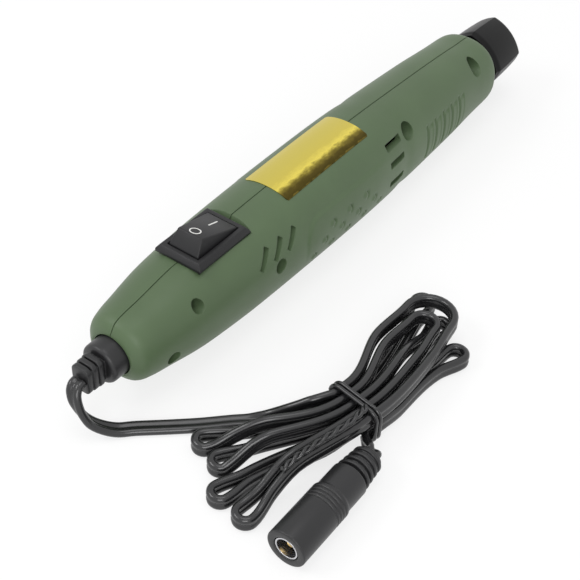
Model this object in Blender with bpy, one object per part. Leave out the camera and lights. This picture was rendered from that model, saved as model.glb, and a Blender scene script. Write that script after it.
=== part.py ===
"""Pen sander: a slim two-shell electric hand tool with a flat twin lead.

Metres, +Z up, +X towards the nose. The underside rests on z = 0. Every piece of the
tool hangs on one empty at the rear end of the casing's axis, so a piece's x is its
distance from there. The lead, which lies on the same surface, is in world coordinates.
"""
import math

import bmesh
import bpy
from mathutils import Matrix, Vector
from mathutils.kdtree import KDTree

# Casing
BODY_LENGTH = 0.1735
BODY_HALF_WIDTH = 0.0151
BODY_HALF_TOP = 0.0158
BODY_HALF_UNDER = 0.0150
AXIS_HEIGHT = 0.0145
SECTION_POWER = 2.24
WALL = 0.0018
REAR_WALL = 0.0022
SEAM_GAP = 0.0003
SEAT_GAP = 0.0003
OVERRUN = 0.004
TOUCH = 0.00015

# Casing outline: share of the length, share of the half width, share of the half height
OUTLINE_SHARES = (
    (0.000, 0.44, 0.42),
    (0.010, 0.60, 0.58),
    (0.030, 0.690, 0.650),
    (0.060, 0.760, 0.690),
    (0.120, 0.868, 0.805),
    (0.180, 0.918, 0.880),
    (0.250, 0.954, 0.935),
    (0.400, 0.988, 0.982),
    (0.540, 1.000, 1.000),
    (0.630, 0.985, 0.985),
    (0.662, 0.952, 0.972),
    (0.684, 0.963, 0.965),
    (0.760, 0.938, 0.930),
    (0.850, 0.900, 0.885),
    (0.905, 0.860, 0.845),
    (0.928, 0.848, 0.825),
    (0.950, 0.842, 0.805),
    (0.980, 0.810, 0.775),
    (0.993, 0.780, 0.745),
    (1.000, 0.740, 0.715),
)
OUTER_STATIONS = 34
OUTER_CROWD_SHARE = 0.75
INNER_STATIONS = 14
INNER_CROWD_SHARE = 0.4
SHARP_ANGLE = math.radians(35)
OUTER_SIDES = 20
INNER_SIDES = 12

# Rocker switch on the top flat
SWITCH_STATION_SHARE = 0.2075
SWITCH_STATION = SWITCH_STATION_SHARE * BODY_LENGTH
SWITCH_FLAT_HEIGHT = 0.0130
BEZEL_LENGTH = 0.0210
BEZEL_WIDTH = 0.0150
BEZEL_THICKNESS = 0.0020
BEZEL_SLOPE = 0.0008
SWITCH_BODY_LENGTH = 0.0190
SWITCH_BODY_WIDTH = 0.0128
SWITCH_BODY_DEPTH = 0.0120
SWITCH_BODY_WALL = 0.0012
SWITCH_FLAT_BEHIND = 0.0150
SWITCH_FLAT_AHEAD = 0.0112
SWITCH_RAMP = 0.0016
SWITCH_SEAT_LENGTH = 0.0320
ROCKER_LENGTH = 0.0160
ROCKER_WIDTH = 0.0098
ROCKER_RAISE = 0.0040
ROCKER_END_SLOPE = 0.0029
ROCKER_SIDE_SLOPE = 0.0008
ROCKER_FLUSH = 0.0004
ROCKER_PIVOT_DROP = 0.0018
ROCKER_BELLY_SHARES = ((1.0, 0.17), (0.88, 0.48), (0.38, 0.64))
ROCKER_GAP = 0.0004
PIVOT_RADIUS = 0.0009
PIVOT_REACH = 0.0006
TERMINAL_WIDTH = 0.0048
TERMINAL_THICKNESS = 0.0008
TERMINAL_LENGTH = 0.0075
TERMINAL_SPACING = 0.0070

# Screws that hold the shells together: share of the length, share of the half height
SCREW_PLACE_SHARES = (
    (0.061, -0.17),
    (0.119, 0.48),
    (0.295, 0.14),
    (0.675, 0.60),
    (0.931, 0.59),
)
SCREW_HEAD_RADIUS = 0.0017
SCREW_HEAD_LENGTH = 0.0014
SCREW_SHANK_RADIUS = 0.0010
SCREW_LENGTH = 0.0080
COUNTERBORE_RADIUS = 0.0020
COUNTERBORE_FLOOR = 0.0040
BOSS_RADIUS = 0.0029
POST_SIDES = 12

# Air slots
SLOT_FLOOR = 0.0080
REAR_SLOT_STATION_SHARE = 0.2628
REAR_SLOT_PITCH = 0.0058
REAR_SLOT_COUNT = 3
REAR_SLOT_LENGTH = 0.0064
REAR_SLOT_WIDTH = 0.0016
REAR_SLOT_HEIGHT = 0.0073
REAR_SLOT_LEAN = math.radians(44)
FRONT_SLOT_STATION_SHARE = 0.6271
FRONT_SLOT_LENGTH = 0.0080
FRONT_SLOT_WIDTH = 0.0021
FRONT_SLOT_HEIGHT_SHARES = (0.62, 0.29, -0.13)

# Finger grip grooves
GROOVE_STATION_SHARE = 0.7390
GROOVE_PITCH = 0.0051
GROOVE_COUNT = 5
GROOVE_WIDTH = 0.0037
GROOVE_DEPTH = 0.0005
GROOVE_TOP = 0.0066
GROOVE_UNDER = 0.0048
GROOVE_STEPS = 6

# Foil plate over the top
PLATE_STATION_SHARE = 0.3620
PLATE_LENGTH_SHARE = 0.2248
PLATE_HALF_WIDTH = 0.0075
PLATE_THICKNESS = 0.0003
PLATE_STEPS = 6

# Nose cap
CAP_REACH = 0.0200
CAP_BASE_RADIUS = 0.0101
CAP_BASE_LENGTH = 0.0014
CAP_MIDDLE_RADIUS = 0.0112
CAP_FRONT_RADIUS = 0.0103
CAP_RIM = 0.0012
CAP_SECTION_POWER = 1.45
CAP_SPIGOT_LENGTH = 0.0040
CAP_FIT = 0.0003
CAP_WALL = 0.0016
CAP_FRONT_WALL = 0.0020
CAP_OPENING_RADIUS = 0.0056
CAP_SIDES = 28
CAP_STEPS = 4

# Motor
MOTOR_FRONT_SHARE = 0.594
MOTOR_CLEARANCE = 0.0010
MOTOR_RADIUS = min(BODY_HALF_WIDTH, BODY_HALF_TOP, BODY_HALF_UNDER) - WALL - MOTOR_CLEARANCE
MOTOR_LENGTH = 0.0310
MOTOR_WALL = 0.0008
MOTOR_FRONT_HOLE_RADIUS = 0.0030
END_CAP_LENGTH = 0.0050
END_CAP_LIP = 0.0018
MAGNET_THICKNESS = 0.0022
MAGNET_LENGTH = 0.0170
MAGNET_ANGLE = math.radians(130)
BUSH_RADIUS = 0.0027
BUSH_LENGTH = 0.0040
SHAFT_RADIUS = 0.00115
RUNNING_GAP = 0.0002
SHAFT_REACH = 0.0105
CORE_GAP = 0.0010
CORE_RADIUS = MOTOR_RADIUS - MOTOR_WALL - MAGNET_THICKNESS - CORE_GAP
CORE_LENGTH = 0.0120
CORE_START = 0.0100
CORE_SLOT_WIDTH = 0.0022
CROWN_THICKNESS = 0.0010
CROWN_STEPS = 6
NECK_HALF_WIDTH = 0.0015
HUB_RADIUS = 0.0032
COIL_DEPTH_SHARE = 0.28
COIL_DEPTH = COIL_DEPTH_SHARE * CORE_RADIUS
COIL_THICKNESS = 0.0016
COIL_COUNT = 3
CAN_SIDES = 24
CRADLE_INSET = 0.0030
CRADLE_THICKNESS = 0.0020
COMMUTATOR_START = 0.0038
COMMUTATOR_RADIUS = 0.0026
COMMUTATOR_LENGTH = 0.0036
BRUSH_WIDTH = 0.0022
BRUSH_LENGTH = 0.0034
BRUSH_THICKNESS = 0.0016
TAB_WIDTH = 0.0024
TAB_THICKNESS = 0.0005
TAB_REACH = 0.0050
TAB_SPREAD = 0.0074

# Coupling, spindle and bearings
COUPLING_GAP = 0.0015
COUPLING_LENGTH = 0.0130
COUPLING_RADIUS = 0.0040
GRUB_RADIUS = 0.0011
SPINDLE_RADIUS = 0.0025
BEARING_RADIUS = 0.0055
BEARING_WIDTH = 0.0040
BEARING_RACE = 0.0009
BEARING_GAP = 0.0024
BEARING_SETBACK = 0.0115
SHOULDER_RADIUS = 0.0034
SHOULDER_LENGTH = 0.0015
WEB_THICKNESS = 0.0032

# Collet chuck
HOLDER_RADIUS = 0.0038
HOLDER_REACH = 0.0195
HOLDER_BORE_RADIUS = 0.0027
HOLDER_BORE_DEPTH = 0.0100
HOLDER_MOUTH = 0.0008
NUT_RADIUS = 0.0052
NUT_LENGTH = 0.0120
NUT_FRONT_WALL = 0.0018
NUT_MOUTH_RADIUS = 0.0020
NUT_CONE = 0.0014
NUT_EDGE = 0.0005
NUT_SIDES = 12
NUT_OVERLAP = 0.0085
COLLET_RADIUS = 0.0023
COLLET_LENGTH = 0.0110
COLLET_BORE_RADIUS = 0.0012
COLLET_NOSE_RADIUS = 0.0016
COLLET_NOSE_LENGTH = 0.0024
COLLET_SLOT = 0.0005
COLLET_SLOT_LENGTH = 0.0060

# Strain relief
RELIEF_REACH = 0.0112
RELIEF_RADIUS = 0.0057
RELIEF_BOSS_LENGTH = 0.0050
RELIEF_ROUND = 0.0016
RELIEF_FLANGE_RADIUS = 0.0067
RELIEF_FLANGE_LENGTH = 0.0020
RELIEF_CORE_WIDTH = 0.0050
RELIEF_CORE_HEIGHT = 0.0060
RELIEF_RIB_WIDTH = 0.0062
RELIEF_RIB_HEIGHT = 0.0088
RELIEF_RIB_THICKNESS = 0.0014
RELIEF_RIB_COUNT = 3
RELIEF_RIB_SHRINK = 0.0003

# Flat twin lead
CORD_WIDTH = 0.0044
CORD_THICKNESS = 0.0022
LEAD_ROUND_SHARE = 0.6
FACE_GAP = 0.0003
EXIT_GAP = 0.00035

# The lead's run from the relief to the hank: place, then heading and lift of its wide side
CORD_RUN = (
    (0, 0.0000, 0.0145, 90, 0),
    (-0.0015, -0.0001, 0.0142, 90, 0),
    (-0.0028, -0.0006, 0.0128, 88, 0),
    (-0.0034, -0.0016, 0.0104, 82, 0),
    (-0.0032, -0.0030, 0.0075, 70, 0),
    (-0.0023, -0.0048, 0.0048, 58, 0),
    (-0.0004, -0.0070, 0.0027, 50, 0),
    (0.0021, -0.0096, 0.0014, 45, 0),
    (0.0054, -0.0126, 0.0011, 42, 0),
    (0.0106, -0.0185, 0.0011, 40, 0),
    (0.0160, -0.0244, 0.0011, 42, 0),
    (0.0218, -0.0301, 0.0011, 40, 0),
)
RUN_STEPS = 3

# Hank: its waist, then each loop as side, columns and layers in and out, heading, reach,
# fold radius, length and half width of the throat behind the fold, from where to where an
# upper strand comes down, and the height at which the loop lies
HANK_CENTRE = (0.0405, -0.0546)
HANK_TURN = math.radians(-10)
WAIST_LOW = 0.0034
WAIST_LAYER = 0.0049
WAIST_PITCH = 0.0029
WAIST_HALF = 0.0025
WAIST_COLUMNS = 5
STRAND_LOW = 0.00225
LAYER_DROP = 0.0060
WAIST_REACH = math.hypot(WAIST_HALF, WAIST_PITCH * (WAIST_COLUMNS - 1) / 2)
LOW = 0
UP = 1
ARCH_HEIGHT = 0.0072
FOLD_THROAT = (0.0080, 0.0014)
FINGERS = (
    (1, (0, UP), (4, UP), 4.0, 0.0460, 0.0068, (0.0140, 0.0080), (0.0052, 0.0362), ARCH_HEIGHT),
    (-1, (4, UP), (3, UP), 175.0, 0.0425, 0.0024, FOLD_THROAT, (0.0162, 0.0332), STRAND_LOW),
    (1, (3, UP), (1, UP), 3.5, 0.0390, 0.0036, (0.0120, 0.0046), (0.0052, 0.0362), ARCH_HEIGHT),
    (-1, (1, UP), (0, LOW), 139.0, 0.0405, 0.0024, FOLD_THROAT, (0.0152, 0.0322), STRAND_LOW),
    (1, (0, LOW), (1, LOW), 11.0, 0.0505, 0.0026, FOLD_THROAT, (0.0052, 0.0242), STRAND_LOW),
    (-1, (1, LOW), (2, UP), 150.5, 0.0385, 0.0024, FOLD_THROAT, (0.0162, 0.0322), STRAND_LOW),
    (1, (2, UP), (2, LOW), 0.5, 0.0445, 0.0026, FOLD_THROAT, (0.0122, 0.0322), STRAND_LOW),
    (-1, (2, LOW), (3, LOW), 163.0, 0.0430, 0.0024, FOLD_THROAT, (0.0172, 0.0342), STRAND_LOW),
    (1, (3, LOW), (4, LOW), -13.5, 0.0390, 0.0026, FOLD_THROAT, (0.0052, 0.0242), STRAND_LOW),
)
STRAND_STEPS = 5
THROAT_STEPS = 2
FOLD_STEPS = 8

# The hank's ends: place and lift of the wide side, up to the first column and on from the last
HANK_ENTRY = (
    (0.0220, -0.03035, 0.0011, 40, 0),
    (0.0251, -0.0337, 0.0012, 44, 5),
    (0.0285, -0.0374, 0.0021, 44, 40),
    (0.0317, -0.0414, 0.0047, 42, 80),
    (0.0350, -0.0455, 0.0076, 42, 90),
)
HANK_EXIT = (
    (0.0349, -0.0617, 0.0038, 60, 88),
    (0.0339, -0.0635, 0.0045, 75, 60),
    (0.0330, -0.0649, 0.0051, 88, 25),
    (0.0321, -0.0654, 0.0053, 90, 0),
    (0.0312, -0.0654, 0.0053, 90, 0),
)

# Tie round the waist of the hank
TIE_LENGTH = 0.0034
TIE_THICKNESS = 0.0007
TIE_CLEARANCE = 0.0004
TIE_ROUND = 0.0016
CORNER_STEPS = 3
TAIL_WIDTH = 0.0020
TAIL_THICKNESS = 0.0010
TAIL_TURNS = 4
TAIL_STEPS = 6
TIE_TAIL = (
    (0.0388, -0.0586, 0.0116),
    (0.0359, -0.0589, 0.0124),
    (0.0310, -0.0585, 0.0126),
    (0.0255, -0.0572, 0.0125),
    (0.0200, -0.0557, 0.0122),
    (0.0155, -0.0545, 0.0117),
    (0.0115, -0.0536, 0.0103),
)

# Steps for measuring the hank's least gap to itself
GAP_STEP = 0.0004
GAP_LIMIT = 0.0040
GAP_SKIP = 0.0070

# Inner leads
LEAD_RADIUS = 0.0007
LEAD_STEPS = 3
LEAD_SIDES = 6
LEAD_GAP = 0.0005
LEAD_SWITCH_REACH = 0.0044
LEAD_MOTOR_REACH = 0.0074
CORD_TO_MOTOR_SHARES = (0, 0.020, 0.075, 0.251, 0.586, 0.854, 0.975, 1)
CORD_TO_MOTOR_PLACES = (
    (-0.0011, 0), (-0.0011, 0), (-0.0015, 0.0020), (-0.0030, -0.0010),
    (-0.0075, -0.0040), (-0.0076, -0.0030), (-0.0074, 0), (-0.0074, 0),
)
CORD_TO_SWITCH_SHARES = (0, 0.045, 0.169, 0.301, 0.564, 0.808, 0.940, 1)
CORD_TO_SWITCH_PLACES = (
    (0.0011, 0), (0.0011, 0), (0.0012, 0.0018), (0.0012, 0.0020),
    (0.0008, -0.0010), (0, -0.0033), (0, -0.0036), (0, -0.0036),
)
SWITCH_TO_MOTOR_SHARES = (0, 0.066, 0.210, 0.395, 0.642, 0.938, 1)
SWITCH_TO_MOTOR_PLACES = (
    (0, -0.0036), (0, -0.0036), (0.0015, -0.0042), (0.0035, -0.0048),
    (0.0060, -0.0036), (0.0074, 0), (0.0074, 0),
)

# Inline power socket at the end of the lead
SOCKET_FRONT = (-0.0032, -0.0654)
SOCKET_RADIUS = 0.0053
SOCKET_BARREL = 0.0175
SOCKET_GRIP = 0.0080
SOCKET_GRIP_RADIUS = 0.0049
SOCKET_EDGE = 0.0004
SOCKET_RIB_COUNT = 4
SOCKET_RIB_PITCH = 0.0019
SOCKET_RIB_RADIUS = 0.0046
SOCKET_RIB_SHRINK = 0.0002
SOCKET_NECK_RADIUS = 0.0034
SOCKET_HOLE_RADIUS = 0.0033
SOCKET_HOLE_DEPTH = 0.0100
SLEEVE_OUTER = 0.0031
SLEEVE_INNER = 0.0027
SLEEVE_SETBACK = 0.0002
PIN_RADIUS = 0.0010
PIN_SETBACK = 0.0018

ROUND_SIDES = 20
SMALL_SIDES = 12

TOTAL_LENGTH = RELIEF_REACH + BODY_LENGTH + CAP_REACH
REAR_X = RELIEF_REACH - TOTAL_LENGTH / 2
LEAD_EXIT = REAR_X - RELIEF_REACH - EXIT_GAP


# Scene and materials
def clear_scene():
    for item in list(bpy.data.objects):
        bpy.data.objects.remove(item, do_unlink=True)


def material(name, color, roughness, metallic=0.0):
    made = bpy.data.materials.get(name)
    if made:
        return made
    made = bpy.data.materials.new(name)
    made.use_nodes = True
    shader = made.node_tree.nodes["Principled BSDF"]
    shader.inputs["Base Color"].default_value = (*color, 1.0)
    shader.inputs["Roughness"].default_value = roughness
    shader.inputs["Metallic"].default_value = metallic
    made.diffuse_color = (*color, 1.0)
    return made


def green_plastic():
    return material("green_plastic", (0.105, 0.165, 0.085), 0.5)


def black_plastic():
    return material("black_plastic", (0.028, 0.028, 0.030), 0.45)


def dark_plastic():
    return material("dark_plastic", (0.055, 0.050, 0.045), 0.6)


def gold_foil():
    return material("gold_foil", (0.62, 0.50, 0.12), 0.3, 0.9)


def steel():
    return material("steel", (0.60, 0.60, 0.62), 0.3, 1.0)


def zinc_steel():
    return material("zinc_steel", (0.48, 0.49, 0.50), 0.45, 1.0)


def brass():
    return material("brass", (0.72, 0.52, 0.22), 0.3, 1.0)


def copper():
    return material("copper", (0.68, 0.30, 0.14), 0.35, 1.0)


def ferrite():
    return material("ferrite", (0.07, 0.07, 0.075), 0.7)


def carbon():
    return material("carbon", (0.03, 0.03, 0.03), 0.8)


def red_vinyl():
    return material("red_vinyl", (0.45, 0.02, 0.02), 0.45)


def black_vinyl():
    return material("black_vinyl", (0.020, 0.020, 0.022), 0.4)


# Mesh helpers
def new_object(name, bm, stuff=None, place=(0, 0, 0), parent=None, smooth=True):
    bmesh.ops.recalc_face_normals(bm, faces=bm.faces)
    mesh = bpy.data.meshes.new(name)
    bm.to_mesh(mesh)
    bm.free()
    if smooth:
        mesh.shade_smooth()
        mesh.set_sharp_from_angle(angle=SHARP_ANGLE)
    made = bpy.data.objects.new(name, mesh)
    bpy.context.scene.collection.objects.link(made)
    made.location = place
    made.parent = parent
    if stuff:
        mesh.materials.append(stuff)
    else:
        made.hide_render = True
        made.display_type = "WIRE"
    return made


def skin(bm, first, second):
    """Faces between two rings; a ring of one point is a tip."""
    count = max(len(first), len(second))
    for i in range(count):
        j = (i + 1) % count
        if len(first) == 1:
            bm.faces.new((first[0], second[j], second[i]))
        elif len(second) == 1:
            bm.faces.new((first[i], first[j], second[0]))
        else:
            bm.faces.new((first[i], first[j], second[j], second[i]))


def ring_points(radius, sides, turn=0.0):
    angles = [turn + math.tau * i / sides for i in range(sides)]
    return [(radius * math.cos(a), radius * math.sin(a)) for a in angles]


def turned_mesh(outline, sides, turn=0.0):
    """Turn (along, radius) points about X; an outline clear of the axis closes on itself."""
    bm = bmesh.new()
    rings = []
    for along, radius in outline:
        if radius == 0:
            rings.append([bm.verts.new((along, 0, 0))])
        else:
            flat = ring_points(radius, sides, turn)
            rings.append([bm.verts.new((along, y, z)) for y, z in flat])
    for first, second in zip(rings, rings[1:]):
        skin(bm, first, second)
    if outline[0][1] > 0:
        skin(bm, rings[-1], rings[0])
    return bm


def turned(name, stuff, outline, place, parent, sides=ROUND_SIDES, turn=0.0):
    return new_object(name, turned_mesh(outline, sides, turn), stuff, place, parent)


def rod(start, length, radius):
    end = start + length
    return [(start, 0), (start, radius), (end, radius), (end, 0)]


def tube(start, length, outer, inner):
    end = start + length
    return [(start, outer), (end, outer), (end, inner), (start, inner)]


def loft(bm, rings):
    """Skin a row of rings of 3-D points and close both ends."""
    made = [[bm.verts.new(point) for point in ring] for ring in rings]
    for first, second in zip(made, made[1:]):
        skin(bm, first, second)
    bm.faces.new(made[0])
    bm.faces.new(made[-1])
    return bm


def block_mesh(length, width, height, centre=(0, 0, 0)):
    bm = bmesh.new()
    bmesh.ops.create_cube(bm, size=1)
    bmesh.ops.scale(bm, vec=(length, width, height), verts=bm.verts)
    bmesh.ops.translate(bm, vec=centre, verts=bm.verts)
    return bm


def block(name, stuff, sizes, place, parent):
    return new_object(name, block_mesh(*sizes), stuff, place, parent, smooth=False)


def cylinder_along_y(name, radius, start, end, place, parent, sides=SMALL_SIDES):
    """A helper cylinder along Y, from start to end."""
    bm = bmesh.new()
    rings = []
    for y in (start, end):
        flat = ring_points(radius, sides, math.pi / sides)
        rings.append([(x, y, z) for x, z in flat])
    loft(bm, rings)
    return new_object(name, bm, None, place, parent)


def combine(target, other, operation):
    step = target.modifiers.new(other.name, "BOOLEAN")
    step.operation = operation
    step.object = other
    step.solver = "EXACT"


def cut(target, *others):
    for other in others:
        combine(target, other, "DIFFERENCE")


# Casing surface
def smooth_value(table, column, share):
    """Read a table of shares with a smooth curve through its rows."""
    last = len(table) - 1
    low = 0
    while low < last - 1 and table[low + 1][0] < share:
        low += 1
    high = low + 1
    span = table[high][0] - table[low][0]
    t = (share - table[low][0]) / span

    def slope(i):
        before = max(i - 1, 0)
        after = min(i + 1, last)
        rise = table[after][column] - table[before][column]
        return rise / (table[after][0] - table[before][0]) * span

    a = table[low][column]
    b = table[high][column]
    hermite = a * (2 * t**3 - 3 * t**2 + 1) + b * (3 * t**2 - 2 * t**3)
    return hermite + slope(low) * (t**3 - 2 * t**2 + t) + slope(high) * (t**3 - t**2)


def half_sizes(station):
    """Half width, half height above and half height below the axis."""
    share = min(max(station / BODY_LENGTH, 0.0), 1.0)
    wide = smooth_value(OUTLINE_SHARES, 1, share)
    tall = smooth_value(OUTLINE_SHARES, 2, share)
    return wide * BODY_HALF_WIDTH, tall * BODY_HALF_TOP, tall * BODY_HALF_UNDER


def section_point(station, angle, inset=0.0):
    """Angle 0 is +Z, a quarter turn is +Y. The underside is cut flat at the table."""
    half_width, half_top, half_under = half_sizes(station)
    up = math.cos(angle)
    side = math.sin(angle)
    power = 2 / SECTION_POWER
    half_height = half_top if up > 0 else half_under
    y = math.copysign(abs(side) ** power, side) * (half_width - inset)
    z = math.copysign(abs(up) ** power, up) * (half_height - inset)
    return station, y, max(z, inset - AXIS_HEIGHT)


def station_list(start, end, count, crowd=0.0):
    """Stations from start to end; crowd packs them towards both ends."""
    shares = []
    for i in range(count + 1):
        t = i / count
        shares.append(t - crowd * math.sin(math.tau * t) / math.tau)
    return [start + (end - start) * share for share in shares]


def surface_height(station, y):
    """Height of the casing's top above the axis."""
    half_width, half_top, _ = half_sizes(station)
    share = min(abs(y) / half_width, 1.0)
    return half_top * (1 - share**SECTION_POWER) ** (1 / SECTION_POWER)


def half_casing_mesh(side):
    """One solid half of the casing; side is -1 for the right shell, 1 for the left."""
    bm = bmesh.new()
    rings = []
    for station in station_list(0, BODY_LENGTH, OUTER_STATIONS, OUTER_CROWD_SHARE):
        ring = []
        for i in range(OUTER_SIDES + 1):
            x, y, z = section_point(station, math.pi * i / OUTER_SIDES)
            ring.append((x, side * max(y, SEAM_GAP / 2), z))
        rings.append(ring)
    return loft(bm, rings)


def cavity_mesh():
    """The hollow of the casing, both halves in one."""
    bm = bmesh.new()
    rings = []
    front = BODY_LENGTH + OVERRUN
    for station in station_list(REAR_WALL, front, INNER_STATIONS, INNER_CROWD_SHARE):
        ring = []
        for i in range(2 * INNER_SIDES):
            turn = math.pi * (i + 1 / 2) / INNER_SIDES
            point = section_point(min(station, BODY_LENGTH), turn, WALL)
            ring.append((station, point[1], point[2]))
        rings.append(ring)
    return loft(bm, rings)


# Places along the tool that several pieces share
MOTOR_FRONT = MOTOR_FRONT_SHARE * BODY_LENGTH
MOTOR_REAR = MOTOR_FRONT - MOTOR_LENGTH
COUPLING_START = MOTOR_FRONT + BUSH_LENGTH / 2 + COUPLING_GAP
COUPLING_END = COUPLING_START + COUPLING_LENGTH
SHAFT_END = MOTOR_FRONT + SHAFT_REACH
SPINDLE_START = SHAFT_END + SEAT_GAP
REAR_BEARING = COUPLING_END + BEARING_GAP
FRONT_BEARING = BODY_LENGTH - BEARING_SETBACK
HOLDER_START = FRONT_BEARING + BEARING_WIDTH + SHOULDER_LENGTH + SEAT_GAP
HOLDER_END = HOLDER_START + HOLDER_REACH
NUT_START = HOLDER_END - NUT_OVERLAP
COLLET_START = HOLDER_END - HOLDER_BORE_DEPTH + SEAT_GAP
RIM_RADIUS = min(half_sizes(BODY_LENGTH)) - WALL
BEZEL_BASE = SWITCH_FLAT_HEIGHT + SEAT_GAP
BEZEL_TOP = BEZEL_BASE + BEZEL_THICKNESS
SWITCH_FLOOR = SWITCH_FLAT_HEIGHT - SWITCH_BODY_DEPTH
ROCKER_PIVOT = BEZEL_TOP - ROCKER_PIVOT_DROP


# Inner leads: where each one starts and ends, how far along each point is, and its place
CORD_LEAD_START = REAR_WALL + SEAT_GAP + RELIEF_FLANGE_LENGTH + LEAD_GAP
SWITCH_LEAD_REAR = SWITCH_STATION - LEAD_SWITCH_REACH
SWITCH_LEAD_FRONT = SWITCH_STATION + LEAD_SWITCH_REACH
MOTOR_LEAD_END = MOTOR_REAR - LEAD_MOTOR_REACH
INNER_LEADS = (
    (
        "cord_to_motor_lead", CORD_LEAD_START, MOTOR_LEAD_END,
        CORD_TO_MOTOR_SHARES, CORD_TO_MOTOR_PLACES,
    ),
    (
        "cord_to_switch_lead", CORD_LEAD_START, SWITCH_LEAD_REAR,
        CORD_TO_SWITCH_SHARES, CORD_TO_SWITCH_PLACES,
    ),
    (
        "switch_to_motor_lead", SWITCH_LEAD_FRONT, MOTOR_LEAD_END,
        SWITCH_TO_MOTOR_SHARES, SWITCH_TO_MOTOR_PLACES,
    ),
)


# Shells
def screw_places():
    return [(BODY_LENGTH * along, BODY_HALF_TOP * up) for along, up in SCREW_PLACE_SHARES]


def make_cavity(axis):
    """The hollow, less the screw posts, the bearing webs and the motor's cradle rings."""
    cavity = new_object("cavity", cavity_mesh(), parent=axis)
    reach = BODY_HALF_WIDTH + OVERRUN
    for i, (along, up) in enumerate(screw_places()):
        place = (along, 0, up)
        post = cylinder_along_y(f"post_{i}", BOSS_RADIUS, -reach, reach, place, axis, POST_SIDES)
        cut(cavity, post)
    for i, (start, length, inner, sides) in enumerate(supports()):
        outline = tube(0, length, reach, inner)
        cut(cavity, turned(f"support_{i}", None, outline, (start, 0, 0), axis, sides))
    seat_top = BODY_HALF_TOP + OVERRUN
    seat_floor = SWITCH_FLAT_HEIGHT - WALL
    height = seat_top - seat_floor
    seat = block_mesh(SWITCH_SEAT_LENGTH, 2 * reach, height, (0, 0, seat_floor + height / 2))
    place = (SWITCH_STATION, 0, 0)
    cut(cavity, new_object("switch_seat", seat, place=place, parent=axis))
    return cavity


def supports():
    """Start, thickness, inner radius and sides of each ring that carries a round piece."""
    web_inset = (BEARING_WIDTH - WEB_THICKNESS) / 2
    seat = BEARING_RADIUS + SEAT_GAP
    cradle = MOTOR_RADIUS + SEAT_GAP
    return [
        (REAR_BEARING + web_inset, WEB_THICKNESS, seat, ROUND_SIDES),
        (FRONT_BEARING + web_inset, WEB_THICKNESS, seat, ROUND_SIDES),
        (MOTOR_REAR + CRADLE_INSET, CRADLE_THICKNESS, cradle, CAN_SIDES),
        (MOTOR_FRONT - CRADLE_INSET - CRADLE_THICKNESS, CRADLE_THICKNESS, cradle, CAN_SIDES),
        (BODY_LENGTH - CAP_SPIGOT_LENGTH - SEAT_GAP, 2 * OVERRUN, RIM_RADIUS, ROUND_SIDES),
    ]


def groove_mesh(side, station):
    """Cutter for a grip groove that follows the casing from above the axis to its lower side."""
    bm = bmesh.new()
    rings = []
    top = half_sizes(station)[1]
    under = half_sizes(station)[2]
    first = math.acos((GROOVE_TOP / top) ** (SECTION_POWER / 2))
    last = math.pi - math.acos((GROOVE_UNDER / under) ** (SECTION_POWER / 2))
    for i in range(GROOVE_STEPS + 1):
        angle = first + (last - first) * i / GROOVE_STEPS
        ring = []
        for along, lift in (
            (-GROOVE_WIDTH / 2, OVERRUN),
            (-GROOVE_WIDTH / 2, -GROOVE_DEPTH),
            (GROOVE_WIDTH / 2, -GROOVE_DEPTH),
            (GROOVE_WIDTH / 2, OVERRUN),
        ):
            _, y, z = section_point(station, angle)
            out = Vector((y, z)).normalized() * lift
            ring.append((station + along, side * (y + out.x), z + out.y))
        rings.append(ring)
    return loft(bm, rings)


def switch_cut_mesh():
    """The flat that the switch sits on, with its ramp ahead."""
    bm = bmesh.new()
    reach = BODY_HALF_WIDTH + OVERRUN
    top = BODY_HALF_TOP + OVERRUN
    back = SWITCH_STATION - SWITCH_FLAT_BEHIND
    ahead = SWITCH_STATION + SWITCH_FLAT_AHEAD
    slope = SWITCH_RAMP * (top - SWITCH_FLAT_HEIGHT) / (BODY_HALF_TOP - SWITCH_FLAT_HEIGHT)
    rings = []
    for y in (-reach, reach):
        rings.append([
            (back, y, SWITCH_FLAT_HEIGHT),
            (ahead, y, SWITCH_FLAT_HEIGHT),
            (ahead + slope, y, top),
            (back, y, top),
        ])
    return loft(bm, rings)


def make_cutters(axis):
    """Openings that both shells share."""
    cutters = [new_object("switch_cut", switch_cut_mesh(), parent=axis)]
    well = (
        SWITCH_BODY_LENGTH + 2 * SEAT_GAP,
        SWITCH_BODY_WIDTH + 2 * SEAT_GAP,
        2 * SWITCH_BODY_DEPTH,
    )
    place = (SWITCH_STATION, 0, SWITCH_FLAT_HEIGHT)
    cutters.append(new_object("switch_well", block_mesh(*well), parent=axis, place=place))
    neck = rod(-OVERRUN, 2 * OVERRUN + REAR_WALL, RELIEF_RADIUS + SEAT_GAP)
    cutters.append(turned("relief_hole", None, neck, (0, 0, 0), axis))
    return cutters


def make_slots(side, axis):
    """Air slots of one shell: leaning ones behind the motor, level ones ahead of it."""
    reach = BODY_HALF_WIDTH + OVERRUN
    depth = reach - SLOT_FLOOR
    y = side * (SLOT_FLOOR + depth / 2)
    slots = []
    for i in range(REAR_SLOT_COUNT):
        mesh = block_mesh(REAR_SLOT_WIDTH, depth, REAR_SLOT_LENGTH)
        station = REAR_SLOT_STATION_SHARE * BODY_LENGTH + i * REAR_SLOT_PITCH
        place = (station, y, REAR_SLOT_HEIGHT)
        slot = new_object(f"rear_slot_{side}_{i}", mesh, place=place, parent=axis)
        slot.rotation_euler = (0, REAR_SLOT_LEAN, 0)
        slots.append(slot)
    for i, share in enumerate(FRONT_SLOT_HEIGHT_SHARES):
        mesh = block_mesh(FRONT_SLOT_LENGTH, depth, FRONT_SLOT_WIDTH)
        place = (FRONT_SLOT_STATION_SHARE * BODY_LENGTH, y, share * BODY_HALF_TOP)
        slots.append(new_object(f"front_slot_{side}_{i}", mesh, place=place, parent=axis))
    return slots


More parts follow.
